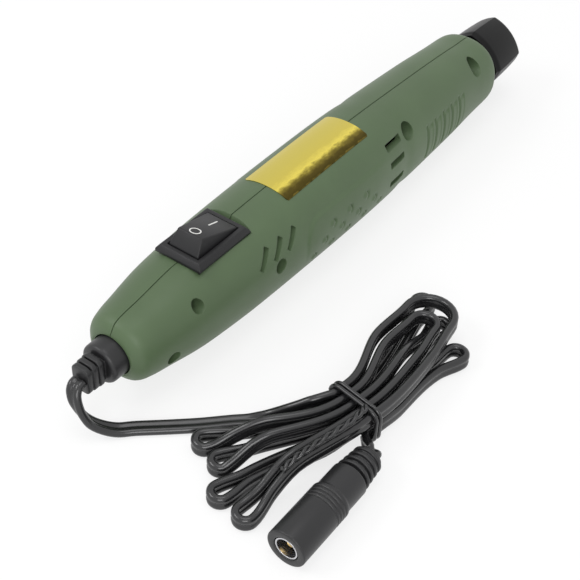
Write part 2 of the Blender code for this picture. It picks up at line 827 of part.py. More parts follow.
def make_screw_holes(axis):
    """Counterbored holes through the right shell and pilot holes in the left."""
    outside = -BODY_HALF_WIDTH - OVERRUN
    floor = -COUNTERBORE_FLOOR
    pilot_end = SCREW_LENGTH - COUNTERBORE_FLOOR
    shank = SCREW_SHANK_RADIUS + SEAT_GAP
    holes = []
    for i, (along, up) in enumerate(screw_places()):
        place = (along, 0, up)
        holes.append(cylinder_along_y(f"head_{i}", COUNTERBORE_RADIUS, outside, floor, place, axis))
        holes.append(cylinder_along_y(f"shank_{i}", shank, floor - WALL, pilot_end, place, axis))
    return holes


def make_shells(axis):
    cavity = make_cavity(axis)
    shared = make_cutters(axis)
    holes = make_screw_holes(axis)
    for name, side in (("shell_right", -1), ("shell_left", 1)):
        shell = new_object(name, half_casing_mesh(side), green_plastic(), parent=axis)
        grooves = []
        for i in range(GROOVE_COUNT):
            station = GROOVE_STATION_SHARE * BODY_LENGTH + i * GROOVE_PITCH
            grooves.append(new_object(f"groove_{side}_{i}", groove_mesh(side, station), parent=axis))
        cut(shell, cavity, *shared, *make_slots(side, axis), *holes, *grooves)


def make_screws(axis):
    head = COUNTERBORE_FLOOR + SEAT_GAP
    outline = [
        (0, 0),
        (0, SCREW_HEAD_RADIUS),
        (SCREW_HEAD_LENGTH, SCREW_HEAD_RADIUS),
        (SCREW_HEAD_LENGTH, SCREW_SHANK_RADIUS),
        (SCREW_HEAD_LENGTH + SCREW_LENGTH - WALL, SCREW_SHANK_RADIUS),
        (SCREW_HEAD_LENGTH + SCREW_LENGTH - SEAT_GAP, 0),
    ]
    for i, (along, up) in enumerate(screw_places()):
        place = (along, -head - SCREW_HEAD_LENGTH, up)
        name = f"housing_screw_{i + 1}"
        screw = turned(name, zinc_steel(), outline, place, axis, SMALL_SIDES)
        screw.rotation_euler = (0, 0, math.pi / 2)


def make_plate(axis):
    """Blank foil plate that lies over the top of both shells."""
    bm = bmesh.new()
    rings = []
    low = SEAT_GAP
    high = SEAT_GAP + PLATE_THICKNESS
    for i in range(PLATE_STEPS + 1):
        share = PLATE_STATION_SHARE + PLATE_LENGTH_SHARE * i / PLATE_STEPS
        station = share * BODY_LENGTH
        across = []
        for j in range(PLATE_STEPS + 1):
            y = PLATE_HALF_WIDTH * (2 * j / PLATE_STEPS - 1)
            across.append((y, surface_height(station, y)))
        ring = [(station, y, z + low) for y, z in across]
        ring += [(station, y, z + high) for y, z in reversed(across)]
        rings.append(ring)
    new_object("rating_plate", loft(bm, rings), gold_foil(), parent=axis)


# Nose cap
def cap_ring(station, radius, power):
    """A ring of the cap: power 2 is round, less gives four faces with edges on the axes."""
    ring = []
    for y, z in ring_points(1.0, CAP_SIDES):
        length = (abs(y) ** power + abs(z) ** power) ** (-1 / power)
        ring.append((station, y * length * radius, z * length * radius))
    return ring


def cap_mesh():
    spigot = RIM_RADIUS - CAP_FIT
    body = CAP_REACH - CAP_BASE_LENGTH - CAP_FIT
    start = CAP_FIT + CAP_BASE_LENGTH
    rings = [
        cap_ring(-CAP_SPIGOT_LENGTH, spigot, 2),
        cap_ring(CAP_FIT, spigot, 2),
        cap_ring(CAP_FIT, CAP_BASE_RADIUS, 2),
        cap_ring(start, CAP_BASE_RADIUS, 2),
    ]
    for i in range(CAP_STEPS + 1):
        share = i / CAP_STEPS
        radius = CAP_MIDDLE_RADIUS + (CAP_FRONT_RADIUS - CAP_MIDDLE_RADIUS) * share**2
        rings.append(cap_ring(start + (body - CAP_RIM) * share, radius, CAP_SECTION_POWER))
    rings.append(cap_ring(CAP_REACH, CAP_FRONT_RADIUS - CAP_RIM, CAP_SECTION_POWER))
    return loft(bmesh.new(), rings)


def make_nose_cap(axis):
    place = (BODY_LENGTH, 0, 0)
    cap = new_object("nose_cap", cap_mesh(), black_plastic(), place, axis)
    bore = RIM_RADIUS - CAP_FIT - CAP_WALL
    floor = CAP_REACH - CAP_FRONT_WALL
    outline = [
        (-CAP_SPIGOT_LENGTH - OVERRUN, 0),
        (-CAP_SPIGOT_LENGTH - OVERRUN, bore),
        (floor, bore),
        (floor, CAP_OPENING_RADIUS),
        (CAP_REACH + OVERRUN, CAP_OPENING_RADIUS),
        (CAP_REACH + OVERRUN, 0),
    ]
    cut(cap, turned("cap_bore", None, outline, place, axis))


# Switch
def make_switch(axis):
    place = (SWITCH_STATION, 0, 0)
    bm = bmesh.new()
    rings = []
    for z, slope in ((BEZEL_BASE, 0), (BEZEL_TOP, BEZEL_SLOPE)):
        x = BEZEL_LENGTH / 2 - slope
        y = BEZEL_WIDTH / 2 - slope
        rings.append([(-x, -y, z), (x, -y, z), (x, y, z), (-x, y, z)])
    housing = new_object("switch_housing", loft(bm, rings), black_plastic(), place, axis, False)
    depth = SWITCH_BODY_DEPTH + BEZEL_THICKNESS / 2
    sizes = (SWITCH_BODY_LENGTH, SWITCH_BODY_WIDTH, depth, (0, 0, SWITCH_FLOOR + depth / 2))
    combine(housing, new_object("switch_body", block_mesh(*sizes), place=place, parent=axis), "UNION")
    well_floor = SWITCH_FLOOR + SWITCH_BODY_WALL
    well_depth = BEZEL_TOP + OVERRUN - well_floor
    well = (
        ROCKER_LENGTH + 2 * ROCKER_GAP,
        ROCKER_WIDTH + 2 * ROCKER_GAP,
        well_depth,
        (0, 0, well_floor + well_depth / 2),
    )
    cut(housing, new_object("rocker_well", block_mesh(*well), place=place, parent=axis))
    pivot = (SWITCH_STATION, 0, ROCKER_PIVOT)
    reach = ROCKER_WIDTH / 2 + ROCKER_GAP + PIVOT_REACH
    hole = cylinder_along_y("pivot_hole", PIVOT_RADIUS + RUNNING_GAP, -reach, reach, pivot, axis)
    cut(housing, hole)
    for i in (-1, 1):
        spot = (SWITCH_STATION + i * TERMINAL_SPACING / 2, 0, SWITCH_FLOOR)
        slot = block_mesh(
            TERMINAL_THICKNESS + 2 * SEAT_GAP, TERMINAL_WIDTH + 2 * SEAT_GAP, 2 * OVERRUN
        )
        cut(housing, new_object(f"terminal_slot_{i}", slot, place=spot, parent=axis))
        centre = (0, 0, SWITCH_BODY_WALL - TERMINAL_LENGTH / 2)
        sizes = (TERMINAL_THICKNESS, TERMINAL_WIDTH, TERMINAL_LENGTH, centre)
        name = f"switch_terminal_{1 if i < 0 else 2}"
        block(name, brass(), sizes, spot, axis)
    make_rocker(pivot, axis)


def make_rocker(pivot, axis):
    """Rear end up, front end pressed flush; the origin is on the pivot."""
    top = ROCKER_PIVOT_DROP
    half = ROCKER_LENGTH / 2
    belly = [(half * along, -half * down, 0) for along, down in ROCKER_BELLY_SHARES]
    profile = [(-x, z, slope) for x, z, slope in reversed(belly)]
    profile += [
        (-half, top, 0),
        (-half + ROCKER_END_SLOPE, top + ROCKER_RAISE, ROCKER_SIDE_SLOPE),
        (half - ROCKER_FLUSH, top + ROCKER_FLUSH, 0),
        (half, top, 0),
    ]
    profile += belly
    bm = bmesh.new()
    rings = []
    for side in (-1, 1):
        rings.append([(x, side * (ROCKER_WIDTH / 2 - slope), z) for x, z, slope in profile])
    rocker = new_object("switch_rocker", loft(bm, rings), black_plastic(), pivot, axis, False)
    reach = ROCKER_WIDTH / 2 + ROCKER_GAP + PIVOT_REACH - SEAT_GAP
    pin = cylinder_along_y("pivot_pin", PIVOT_RADIUS, -reach, reach, pivot, axis)
    combine(rocker, pin, "UNION")


# Motor
def arc_block_mesh(length, outer, inner, angle, middle, steps):
    """A block bent about X: angle wide, centred on the angle middle."""
    bm = bmesh.new()
    rings = []
    for i in range(steps + 1):
        turn = middle + angle * (i / steps - 1 / 2)
        y, z = math.sin(turn), math.cos(turn)
        rings.append([
            (0, y * inner, z * inner),
            (length, y * inner, z * inner),
            (length, y * outer, z * outer),
            (0, y * outer, z * outer),
        ])
    return loft(bm, rings)


def core_mesh():
    """Three poles with crowns and narrow necks, and a hub, extruded along X."""
    outline = []
    crown_turn = math.pi / COIL_COUNT - CORE_SLOT_WIDTH / (2 * CORE_RADIUS)
    under = CORE_RADIUS - CROWN_THICKNESS
    for k in range(COIL_COUNT):
        middle = math.tau * k / COIL_COUNT
        across = Vector((-math.sin(middle), math.cos(middle)))
        along = Vector((math.cos(middle), math.sin(middle)))
        for i in range(CROWN_STEPS + 1):
            turn = middle + crown_turn * (2 * i / CROWN_STEPS - 1)
            outline.append(Vector((math.cos(turn), math.sin(turn))) * CORE_RADIUS)
        edge = middle + crown_turn
        outline.append(Vector((math.cos(edge), math.sin(edge))) * under)
        outline.append(along * under + across * NECK_HALF_WIDTH)
        outline.append(along * HUB_RADIUS + across * NECK_HALF_WIDTH)
        step = math.tau / COIL_COUNT
        nxt = Vector((math.cos(middle + step), math.sin(middle + step)))
        nxt_across = Vector((-nxt.y, nxt.x))
        outline.append(nxt * HUB_RADIUS - nxt_across * NECK_HALF_WIDTH)
        outline.append(nxt * under - nxt_across * NECK_HALF_WIDTH)
        edge = middle + step - crown_turn
        outline.append(Vector((math.cos(edge), math.sin(edge))) * under)
    rings = [[(x, p.x, p.y) for p in outline] for x in (0, CORE_LENGTH)]
    return loft(bmesh.new(), rings)


def coil_mesh(turn):
    """A closed frame of wire round one pole's neck, in the plane square to the neck."""
    bm = bmesh.new()
    inner_x = CORE_LENGTH / 2 + SEAT_GAP
    inner_y = NECK_HALF_WIDTH + SEAT_GAP
    outer_x = inner_x + COIL_THICKNESS
    outer_y = inner_y + COIL_THICKNESS
    low = HUB_RADIUS + SEAT_GAP
    high = low + COIL_DEPTH
    spin = Matrix.Rotation(turn, 3, "X")
    rings = []
    for sx, sy in ((-1, -1), (1, -1), (1, 1), (-1, 1)):
        ring = []
        for x, y, up in (
            (inner_x, inner_y, low),
            (outer_x, outer_y, low),
            (outer_x, outer_y, high),
            (inner_x, inner_y, high),
        ):
            ring.append(bm.verts.new(spin @ Vector((sx * x, up, sy * y))))
        rings.append(ring)
    for first, second in zip(rings, rings[1:] + rings[:1]):
        skin(bm, first, second)
    return bm


def make_motor(axis):
    inside = MOTOR_RADIUS - MOTOR_WALL
    outline = [
        (0, MOTOR_RADIUS),
        (MOTOR_LENGTH, MOTOR_RADIUS),
        (MOTOR_LENGTH, MOTOR_FRONT_HOLE_RADIUS),
        (MOTOR_LENGTH - MOTOR_WALL, MOTOR_FRONT_HOLE_RADIUS),
        (MOTOR_LENGTH - MOTOR_WALL, inside),
        (0, inside),
    ]
    rear = (MOTOR_REAR, 0, 0)
    turned("motor_can", zinc_steel(), outline, rear, axis, CAN_SIDES)
    plug = inside * math.cos(math.pi / CAN_SIDES) - SEAT_GAP
    seat = BUSH_RADIUS + SEAT_GAP
    outline = [
        (-END_CAP_LIP, seat),
        (-END_CAP_LIP, inside),
        (-SEAT_GAP, inside),
        (-SEAT_GAP, plug),
        (END_CAP_LENGTH - END_CAP_LIP, plug),
        (END_CAP_LENGTH - END_CAP_LIP, seat),
    ]
    cap = turned("motor_end_cap", dark_plastic(), outline, rear, axis, CAN_SIDES)
    for side in (-1, 1):
        size = (4 * END_CAP_LENGTH, TAB_THICKNESS + 2 * SEAT_GAP, TAB_WIDTH + 2 * SEAT_GAP)
        place = (MOTOR_REAR, side * TAB_SPREAD, 0)
        cut(cap, new_object(f"tab_slot_{side}", block_mesh(*size), place=place, parent=axis))
    bore = SHAFT_RADIUS + RUNNING_GAP
    bush = tube(0, BUSH_LENGTH, BUSH_RADIUS, bore)
    front = MOTOR_FRONT - MOTOR_WALL / 2 - BUSH_LENGTH / 2
    turned("motor_front_bush", brass(), bush, (front, 0, 0), axis)
    middle = MOTOR_REAR + END_CAP_LENGTH / 2 - END_CAP_LIP - BUSH_LENGTH / 2
    turned("motor_rear_bush", brass(), bush, (middle, 0, 0), axis)
    magnet = inside * math.cos(math.pi / CAN_SIDES) - SEAT_GAP
    place = (MOTOR_REAR + CORE_START - (MAGNET_LENGTH - CORE_LENGTH) / 2, 0, 0)
    for i, middle in enumerate((0, math.pi)):
        mesh = arc_block_mesh(
            MAGNET_LENGTH, magnet, magnet - MAGNET_THICKNESS, MAGNET_ANGLE, middle, CROWN_STEPS * 2
        )
        new_object(f"motor_magnet_{i + 1}", mesh, ferrite(), place, axis)
    make_brushes(axis)


def make_brushes(axis):
    """Carbon brushes at the commutator, each on the inner end of its terminal."""
    inner = COMMUTATOR_RADIUS + RUNNING_GAP
    brush_start = MOTOR_REAR + COMMUTATOR_START + (COMMUTATOR_LENGTH - BRUSH_THICKNESS) / 2
    arm_end = brush_start - SEAT_GAP
    tab_start = MOTOR_REAR - END_CAP_LIP - TAB_REACH
    for i, side in enumerate((-1, 1)):
        mid = side * (inner + BRUSH_LENGTH / 2)
        sizes = (BRUSH_THICKNESS, BRUSH_LENGTH, BRUSH_WIDTH, (BRUSH_THICKNESS / 2, 0, 0))
        block(f"motor_brush_{i + 1}", carbon(), sizes, (brush_start, mid, 0), axis)
        length = arm_end - tab_start
        sizes = (length, TAB_THICKNESS, TAB_WIDTH, (length / 2, 0, 0))
        place = (tab_start, side * TAB_SPREAD, 0)
        tab = block(f"motor_terminal_{i + 1}", copper(), sizes, place, axis)
        reach = TAB_SPREAD - inner - BRUSH_LENGTH / 2
        sizes = (TAB_THICKNESS, reach, TAB_WIDTH - SEAT_GAP, (-TAB_THICKNESS / 2, 0, 0))
        place = (arm_end, side * (TAB_SPREAD - reach / 2), 0)
        arm = new_object(f"brush_arm_{i + 1}", block_mesh(*sizes), place=place, parent=axis)
        combine(tab, arm, "UNION")


def make_rotor(axis):
    """Everything that spins: motor shaft, core, windings, commutator, coupling, spindle."""
    start = MOTOR_REAR - END_CAP_LIP
    turned("motor_shaft", steel(), rod(0, SHAFT_END - start, SHAFT_RADIUS), (start, 0, 0), axis)
    core = new_object("armature_core", core_mesh(), zinc_steel(), (MOTOR_REAR + CORE_START, 0, 0), axis)
    bore = rod(-OVERRUN, CORE_LENGTH + 2 * OVERRUN, SHAFT_RADIUS + RUNNING_GAP)
    cut(core, turned("core_bore", None, bore, (MOTOR_REAR + CORE_START, 0, 0), axis))
    middle = (MOTOR_REAR + CORE_START + CORE_LENGTH / 2, 0, 0)
    for k in range(COIL_COUNT):
        mesh = coil_mesh(math.tau * k / COIL_COUNT)
        new_object(f"armature_coil_{k + 1}", mesh, copper(), middle, axis)
    place = (MOTOR_REAR + COMMUTATOR_START, 0, 0)
    ring = tube(0, COMMUTATOR_LENGTH, COMMUTATOR_RADIUS, SHAFT_RADIUS + RUNNING_GAP)
    turned("commutator", copper(), ring, place, axis)
    make_coupling(axis)
    make_spindle(axis)


def make_coupling(axis):
    """A brass sleeve: the motor shaft's bore behind, the spindle's ahead."""
    step = SPINDLE_START - TOUCH - COUPLING_START
    outline = [
        (0, SHAFT_RADIUS + RUNNING_GAP),
        (0, COUPLING_RADIUS),
        (COUPLING_LENGTH, COUPLING_RADIUS),
        (COUPLING_LENGTH, SPINDLE_RADIUS + RUNNING_GAP),
        (step, SPINDLE_RADIUS + RUNNING_GAP),
        (step, SHAFT_RADIUS + RUNNING_GAP),
    ]
    place = (COUPLING_START, 0, 0)
    coupling = turned("shaft_coupling", brass(), outline, place, axis)
    spots = (
        (step / 2, SHAFT_RADIUS),
        ((COUPLING_LENGTH + step) / 2, SPINDLE_RADIUS),
    )
    for i, (along, seat) in enumerate(spots):
        start = seat + RUNNING_GAP
        length = COUPLING_RADIUS - start
        hole = turned_mesh(rod(0, length + OVERRUN, GRUB_RADIUS + RUNNING_GAP), SMALL_SIDES)
        spot = (COUPLING_START + along, 0, seat)
        tool = new_object(f"grub_hole_{i + 1}", hole, place=spot, parent=axis)
        tool.rotation_euler = (0, -math.pi / 2, 0)
        cut(coupling, tool)
        spot = (COUPLING_START + along, 0, start)
        mesh = rod(0, length, GRUB_RADIUS)
        name = f"coupling_screw_{i + 1}"
        grub = turned(name, zinc_steel(), mesh, spot, axis, SMALL_SIDES)
        grub.rotation_euler = (0, -math.pi / 2, 0)


def make_spindle(axis):
    """Shaft, bearing shoulder and collet holder in one piece."""
    place = (SPINDLE_START, 0, 0)
    shoulder = FRONT_BEARING + BEARING_WIDTH + SEAT_GAP - SPINDLE_START
    holder = HOLDER_START - SPINDLE_START
    end = HOLDER_END - SPINDLE_START
    floor = end - HOLDER_BORE_DEPTH
    outline = [
        (0, 0),
        (0, SPINDLE_RADIUS),
        (shoulder, SPINDLE_RADIUS),
        (shoulder, SHOULDER_RADIUS),
        (holder, SHOULDER_RADIUS),
        (holder, HOLDER_RADIUS),
        (end, HOLDER_RADIUS),
        (end, HOLDER_BORE_RADIUS + HOLDER_MOUTH / 2),
        (end - HOLDER_MOUTH, HOLDER_BORE_RADIUS),
        (floor, HOLDER_BORE_RADIUS),
        (floor, 0),
    ]
    turned("spindle", steel(), outline, place, axis)


def make_bearings(axis):
    bore = SPINDLE_RADIUS + RUNNING_GAP
    inner = bore + BEARING_RACE
    outer = BEARING_RADIUS - BEARING_RACE
    cage = BEARING_WIDTH / 2
    for name, start in (("rear", REAR_BEARING), ("front", FRONT_BEARING)):
        place = (start, 0, 0)
        ring = tube(0, BEARING_WIDTH, BEARING_RADIUS, outer)
        turned(f"{name}_bearing_outer_race", steel(), ring, place, axis)
        ring = tube(0, BEARING_WIDTH, inner, bore)
        turned(f"{name}_bearing_inner_race", steel(), ring, place, axis)
        ring = tube(cage / 2, cage, outer - RUNNING_GAP, inner + RUNNING_GAP)
        turned(f"{name}_bearing_cage", brass(), ring, place, axis)


def make_chuck(axis):
    """Split collet in the holder, and the nut that closes it."""
    body = COLLET_LENGTH - COLLET_NOSE_LENGTH
    outline = [
        (0, COLLET_BORE_RADIUS),
        (0, COLLET_RADIUS),
        (body, COLLET_RADIUS),
        (COLLET_LENGTH, COLLET_NOSE_RADIUS),
        (COLLET_LENGTH, COLLET_BORE_RADIUS),
    ]
    place = (COLLET_START, 0, 0)
    collet = turned("collet", brass(), outline, place, axis)
    for i, turn in enumerate((0, math.pi / 2)):
        sizes = (COLLET_SLOT_LENGTH, 2 * OVERRUN, COLLET_SLOT, (COLLET_SLOT_LENGTH / 2, 0, 0))
        spot = (COLLET_START + COLLET_LENGTH - COLLET_SLOT_LENGTH + OVERRUN, 0, 0)
        mesh = block_mesh(*sizes)
        slit = new_object(f"collet_slit_{i}", mesh, place=spot, parent=axis)
        slit.rotation_euler = (turn, 0, 0)
        cut(collet, slit)
    thread = HOLDER_RADIUS + 2 * RUNNING_GAP
    floor = NUT_LENGTH - NUT_FRONT_WALL
    outline = [
        (0, thread),
        (0, NUT_RADIUS),
        (NUT_LENGTH - NUT_EDGE, NUT_RADIUS),
        (NUT_LENGTH, NUT_RADIUS - NUT_EDGE),
        (NUT_LENGTH, NUT_MOUTH_RADIUS),
        (floor, NUT_MOUTH_RADIUS),
        (floor - NUT_CONE, thread),
    ]
    turned("chuck_nut", zinc_steel(), outline, (NUT_START, 0, 0), axis, NUT_SIDES)


# Strain relief
def make_relief(axis):
    """Round grommet with a flange inside the casing and flat ribs behind it."""
    inner = REAR_WALL + SEAT_GAP
    neck = RELIEF_RADIUS
    outline = [
        (-RELIEF_BOSS_LENGTH, 0),
        (-RELIEF_BOSS_LENGTH, neck - RELIEF_ROUND),
        (RELIEF_ROUND / 3 - RELIEF_BOSS_LENGTH, neck - RELIEF_ROUND / 3),
        (RELIEF_ROUND - RELIEF_BOSS_LENGTH, neck),
        (inner, neck),
        (inner, RELIEF_FLANGE_RADIUS),
        (inner + RELIEF_FLANGE_LENGTH, RELIEF_FLANGE_RADIUS),
        (inner + RELIEF_FLANGE_LENGTH, 0),
    ]
    relief = turned("strain_relief", black_vinyl(), outline, (0, 0, 0), axis)
    tail = RELIEF_REACH - RELIEF_BOSS_LENGTH
    core = (tail, RELIEF_CORE_WIDTH, RELIEF_CORE_HEIGHT)
    place = (RELIEF_RIB_THICKNESS / 2 - RELIEF_REACH + tail / 2, 0, 0)
    combine(relief, new_object("relief_core", block_mesh(*core), place=place, parent=axis), "UNION")
    pitch = (tail - RELIEF_RIB_THICKNESS) / (RELIEF_RIB_COUNT - 1 / 2)
    for i in range(RELIEF_RIB_COUNT):
        shrink = (RELIEF_RIB_COUNT - 1 - i) * RELIEF_RIB_SHRINK
        width = RELIEF_RIB_WIDTH - shrink
        height = RELIEF_RIB_HEIGHT - shrink
        place = (-RELIEF_REACH + RELIEF_RIB_THICKNESS / 2 + i * pitch, 0, 0)
        mesh = block_mesh(RELIEF_RIB_THICKNESS, width, height)
        combine(relief, new_object(f"relief_rib_{i}", mesh, place=place, parent=axis), "UNION")


# Flat twin lead
def lead_section():
    """Outline of the flat lead, wide and thick, as points round its middle."""
    wide = CORD_WIDTH / 2
    thick = CORD_THICKNESS / 2
    flat = wide - thick * LEAD_ROUND_SHARE
    edge = thick * (1 - LEAD_ROUND_SHARE)
    quarter = [(wide, edge), (flat, thick)]
    half = quarter + [(-w, t) for w, t in reversed(quarter)]
    return half + [(-w, -t) for w, t in half]


def sweep_mesh(points, wides, section):
    """Sweep a section along points; wides says which way its wide side points."""
    bm = bmesh.new()
    rings = []
    for i, point in enumerate(points):
        before = points[max(i - 1, 0)]
        after = points[min(i + 1, len(points) - 1)]
        along = (after - before).normalized()
        wide = (wides[i] - along * wides[i].dot(along)).normalized()
        thick = along.cross(wide)
        rings.append([point + wide * w + thick * t for w, t in section])
    return loft(bm, rings)


def smooth_route(rows, steps):
    """A smooth curve through rows of numbers, with the same count of steps in each gap."""
    made = []
    for i in range(len(rows) - 1):
        before = rows[max(i - 1, 0)]
        start = rows[i]
        end = rows[i + 1]
        after = rows[min(i + 2, len(rows) - 1)]
        for k in range(steps):
            t = k / steps
            row = []
            for a, b, c, d in zip(before, start, end, after):
                bend = (c - a) / 2 * (t**3 - 2 * t**2 + t) + (d - b) / 2 * (t**3 - t**2)
                row.append(b * (2 * t**3 - 3 * t**2 + 1) + c * (3 * t**2 - 2 * t**3) + bend)
            made.append(row)
    return made + [list(rows[-1])]


def make_cord_run(lead):
    """From the strain relief down to the floor and across to the hank."""
    rows = smooth_route(CORD_RUN, RUN_STEPS)
    points = [Vector(row[:3]) for row in rows]
    wides = []
    for row in rows:
        heading, lift = math.radians(row[3]), math.radians(row[4])
        level = math.cos(lift)
        wides.append(Vector((math.cos(heading) * level, math.sin(heading) * level, math.sin(lift))))
    mesh = sweep_mesh(points, wides, lead_section())
    new_object("cord_run", mesh, black_vinyl(), parent=lead)


# Hank
def hank_place(along, across, height):
    """World place of a point given along and across the waist of the hank."""
    x = along * math.cos(HANK_TURN) - across * math.sin(HANK_TURN)
    y = along * math.sin(HANK_TURN) + across * math.cos(HANK_TURN)
    return Vector((HANK_CENTRE[0] + x, HANK_CENTRE[1] + y, height))


def waist_point(side, column, layer):
    across = WAIST_PITCH * ((WAIST_COLUMNS - 1) / 2 - column)
    return hank_place(side * WAIST_HALF, across, WAIST_LOW + layer * WAIST_LAYER)


def settle(point, layer, drop, low):
    """Let a strand down from its layer at the waist to where its loop lies."""
    top = WAIST_LOW + layer * WAIST_LAYER
    away = (point.xy - Vector(HANK_CENTRE)).length - WAIST_REACH
    first, last = drop if layer else (0, LAYER_DROP)
    t = min(max((away - first) / (last - first), 0), 1)
    height = top + (low - top) * t * t * (3 - 2 * t)
    return Vector((point.x, point.y, height))


def strand(start, pull_out, end, pull_in, steps):
    """Points on one cubic curve, without its end."""
    points = []
    for k in range(steps):
        t = k / steps
        bend = pull_out * (t**3 - 2 * t**2 + t) + pull_in * (t**3 - t**2)
        points.append(start * (2 * t**3 - 3 * t**2 + 1) + end * (3 * t**2 - 2 * t**3) + bend)
    return points


def loop_side(side, place, fold, along, across, radius, throat, drop, low):
    """One strand of a loop: out from its place at the waist and through the loop's throat."""
    outward = hank_place(side, 0, 0) - hank_place(0, 0, 0)
    length, half = throat
    start = waist_point(side, *place)
    neck = fold - along * length + across * half
    near = fold + across * radius
    pull = (neck - start).length
    points = strand(start, outward * pull, neck, along * pull, STRAND_STEPS)
    points += strand(neck, along * length, near, along * length, THROAT_STEPS)
    return [settle(point, place[1], drop, low) for point in points]


def finger_points(side, first, last, angle, reach, radius, throat, drop, low):
    """One loop of the hank: out from the waist, round a fold and back."""
    heading = math.radians(angle)
    along = Vector((math.cos(heading), math.sin(heading), 0))
    across = Vector((-along.y, along.x, 0))
    if (waist_point(side, *first) - waist_point(side, *last)).dot(across) < 0:
        across = -across
    middle = hank_place(0, 0, low) + along * (reach - radius)
    points = loop_side(side, first, middle, along, across, radius, throat, drop, low)
    for k in range(FOLD_STEPS + 1):
        turn = math.pi * k / FOLD_STEPS
        round_fold = across * math.cos(turn) + along * math.sin(turn)
        points.append(middle + round_fold * radius)
    back = loop_side(side, last, middle, along, -across, radius, throat, drop, low)
    return points + back[::-1]


def wide_side(heading, lift):
    turn = math.radians(heading)
    rise = math.radians(lift)
    return Vector((math.cos(turn) * math.cos(rise), math.sin(turn) * math.cos(rise), math.sin(rise)))


def hank_route():
    """The whole hank as one path, with the way that its wide side points."""
    entry = smooth_route(HANK_ENTRY, RUN_STEPS)
    points = [Vector(row[:3]) for row in entry]
    wides = [wide_side(*row[3:]) for row in entry]
    loops = [waist_point(-1, *FINGERS[0][1])]
    for row in FINGERS:
        loops += finger_points(*row)
    loops.append(waist_point(-FINGERS[-1][0], *FINGERS[-1][2]))
    leaving = smooth_route(HANK_EXIT, RUN_STEPS)
    points += loops + [Vector(row[:3]) for row in leaving]
    wides += [Vector((0, 0, 1))] * len(loops) + [wide_side(*row[3:]) for row in leaving]
    return points, wides


def least_gap(points, wides):
    """Least gap of the hank to itself, measured on its two cores."""
    cores = (CORD_WIDTH - CORD_THICKNESS) / 2
    marks = []
    away = 0.0
    for i in range(len(points) - 1):
        span = (points[i + 1] - points[i]).length
        parts = max(1, round(span / GAP_STEP))
        for k in range(parts):
            t = k / parts
            middle = points[i].lerp(points[i + 1], t)
            lean = wides[i].lerp(wides[i + 1], t).normalized() * cores
            marks.append((away + span * t, middle + lean))
            marks.append((away + span * t, middle - lean))
        away += span
    tree = KDTree(len(marks))
    for i, mark in enumerate(marks):
        tree.insert(mark[1], i)
    tree.balance()
    least = GAP_LIMIT
    for distance, mark in marks:
        for _, other, near in tree.find_range(mark, GAP_LIMIT):
            if abs(marks[other][0] - distance) > GAP_SKIP:
                least = min(least, near)
    return least - CORD_THICKNESS, away


def make_hank(lead):
    points, wides = hank_route()
    new_object("cord_hank", sweep_mesh(points, wides, lead_section()), black_vinyl(), parent=lead)
    gap, length = least_gap(points, wides)
    print(f"hank: least gap to itself {gap:.5f}, length {length:.4f}")


def make_tie(lead):
    """A band round the waist, with its two ends twisted together and laid down."""
    half_across = WAIST_PITCH * (WAIST_COLUMNS - 1) / 2 + CORD_THICKNESS / 2 + TIE_CLEARANCE
    low = WAIST_LOW - CORD_WIDTH / 2 - TIE_CLEARANCE
    high = WAIST_LOW + WAIST_LAYER + CORD_WIDTH / 2 + TIE_CLEARANCE
    bm = bmesh.new()
    rings = []
    for grow in (TIE_THICKNESS, 0):
        for along in (-TIE_LENGTH / 2, TIE_LENGTH / 2):
            loop = rounded_loop(half_across + grow, low - grow, high + grow, TIE_ROUND + grow)
            order = [bm.verts.new(hank_place(along, across, height)) for across, height in loop]
            rings.append(order)
    outer_rear, outer_front, inner_rear, inner_front = rings
    skin(bm, outer_rear, outer_front)
    skin(bm, outer_front, inner_front)
    skin(bm, inner_front, inner_rear)
    skin(bm, inner_rear, outer_rear)
    tie = new_object("cord_tie", bm, black_vinyl(), parent=lead)
    points = [Vector(row) for row in smooth_route(TIE_TAIL, TAIL_STEPS)]
    turns = [math.tau * TAIL_TURNS * i / (len(points) - 1) for i in range(len(points))]
    wides = [Vector((0, math.cos(turn), math.sin(turn))) for turn in turns]
    wide, thick = TAIL_WIDTH / 2, TAIL_THICKNESS / 2
    section = [(wide, thick), (-wide, thick), (-wide, -thick), (wide, -thick)]
    tail = new_object("tie_tail", sweep_mesh(points, wides, section), parent=lead)
    combine(tie, tail, "UNION")


def rounded_loop(half_across, low, high, radius):
    corners = (
        (half_across - radius, high - radius, 0),
        (radius - half_across, high - radius, 1),
        (radius - half_across, low + radius, 2),
        (half_across - radius, low + radius, 3),
    )
    loop = []
    for across, height, quarter in corners:
        for k in range(CORNER_STEPS + 1):
            turn = (quarter + k / CORNER_STEPS) * math.pi / 2
            loop.append((across + radius * math.cos(turn), height + radius * math.sin(turn)))
    return loop


# Inner leads
def make_inner_leads(axis):
    """Insulated wires between the cord, the switch and the motor."""
    for name, start, end, shares, places in INNER_LEADS:
        rows = [(start + share * (end - start), *place) for share, place in zip(shares, places)]
        stuff = red_vinyl if "switch" in name else black_vinyl
        points = [Vector(row) for row in smooth_route(rows, LEAD_STEPS)]
        wides = [Vector((0, 0, 1))] * len(points)
        section = ring_points(LEAD_RADIUS, LEAD_SIDES)
        new_object(name, sweep_mesh(points, wides, section), stuff(), parent=axis)


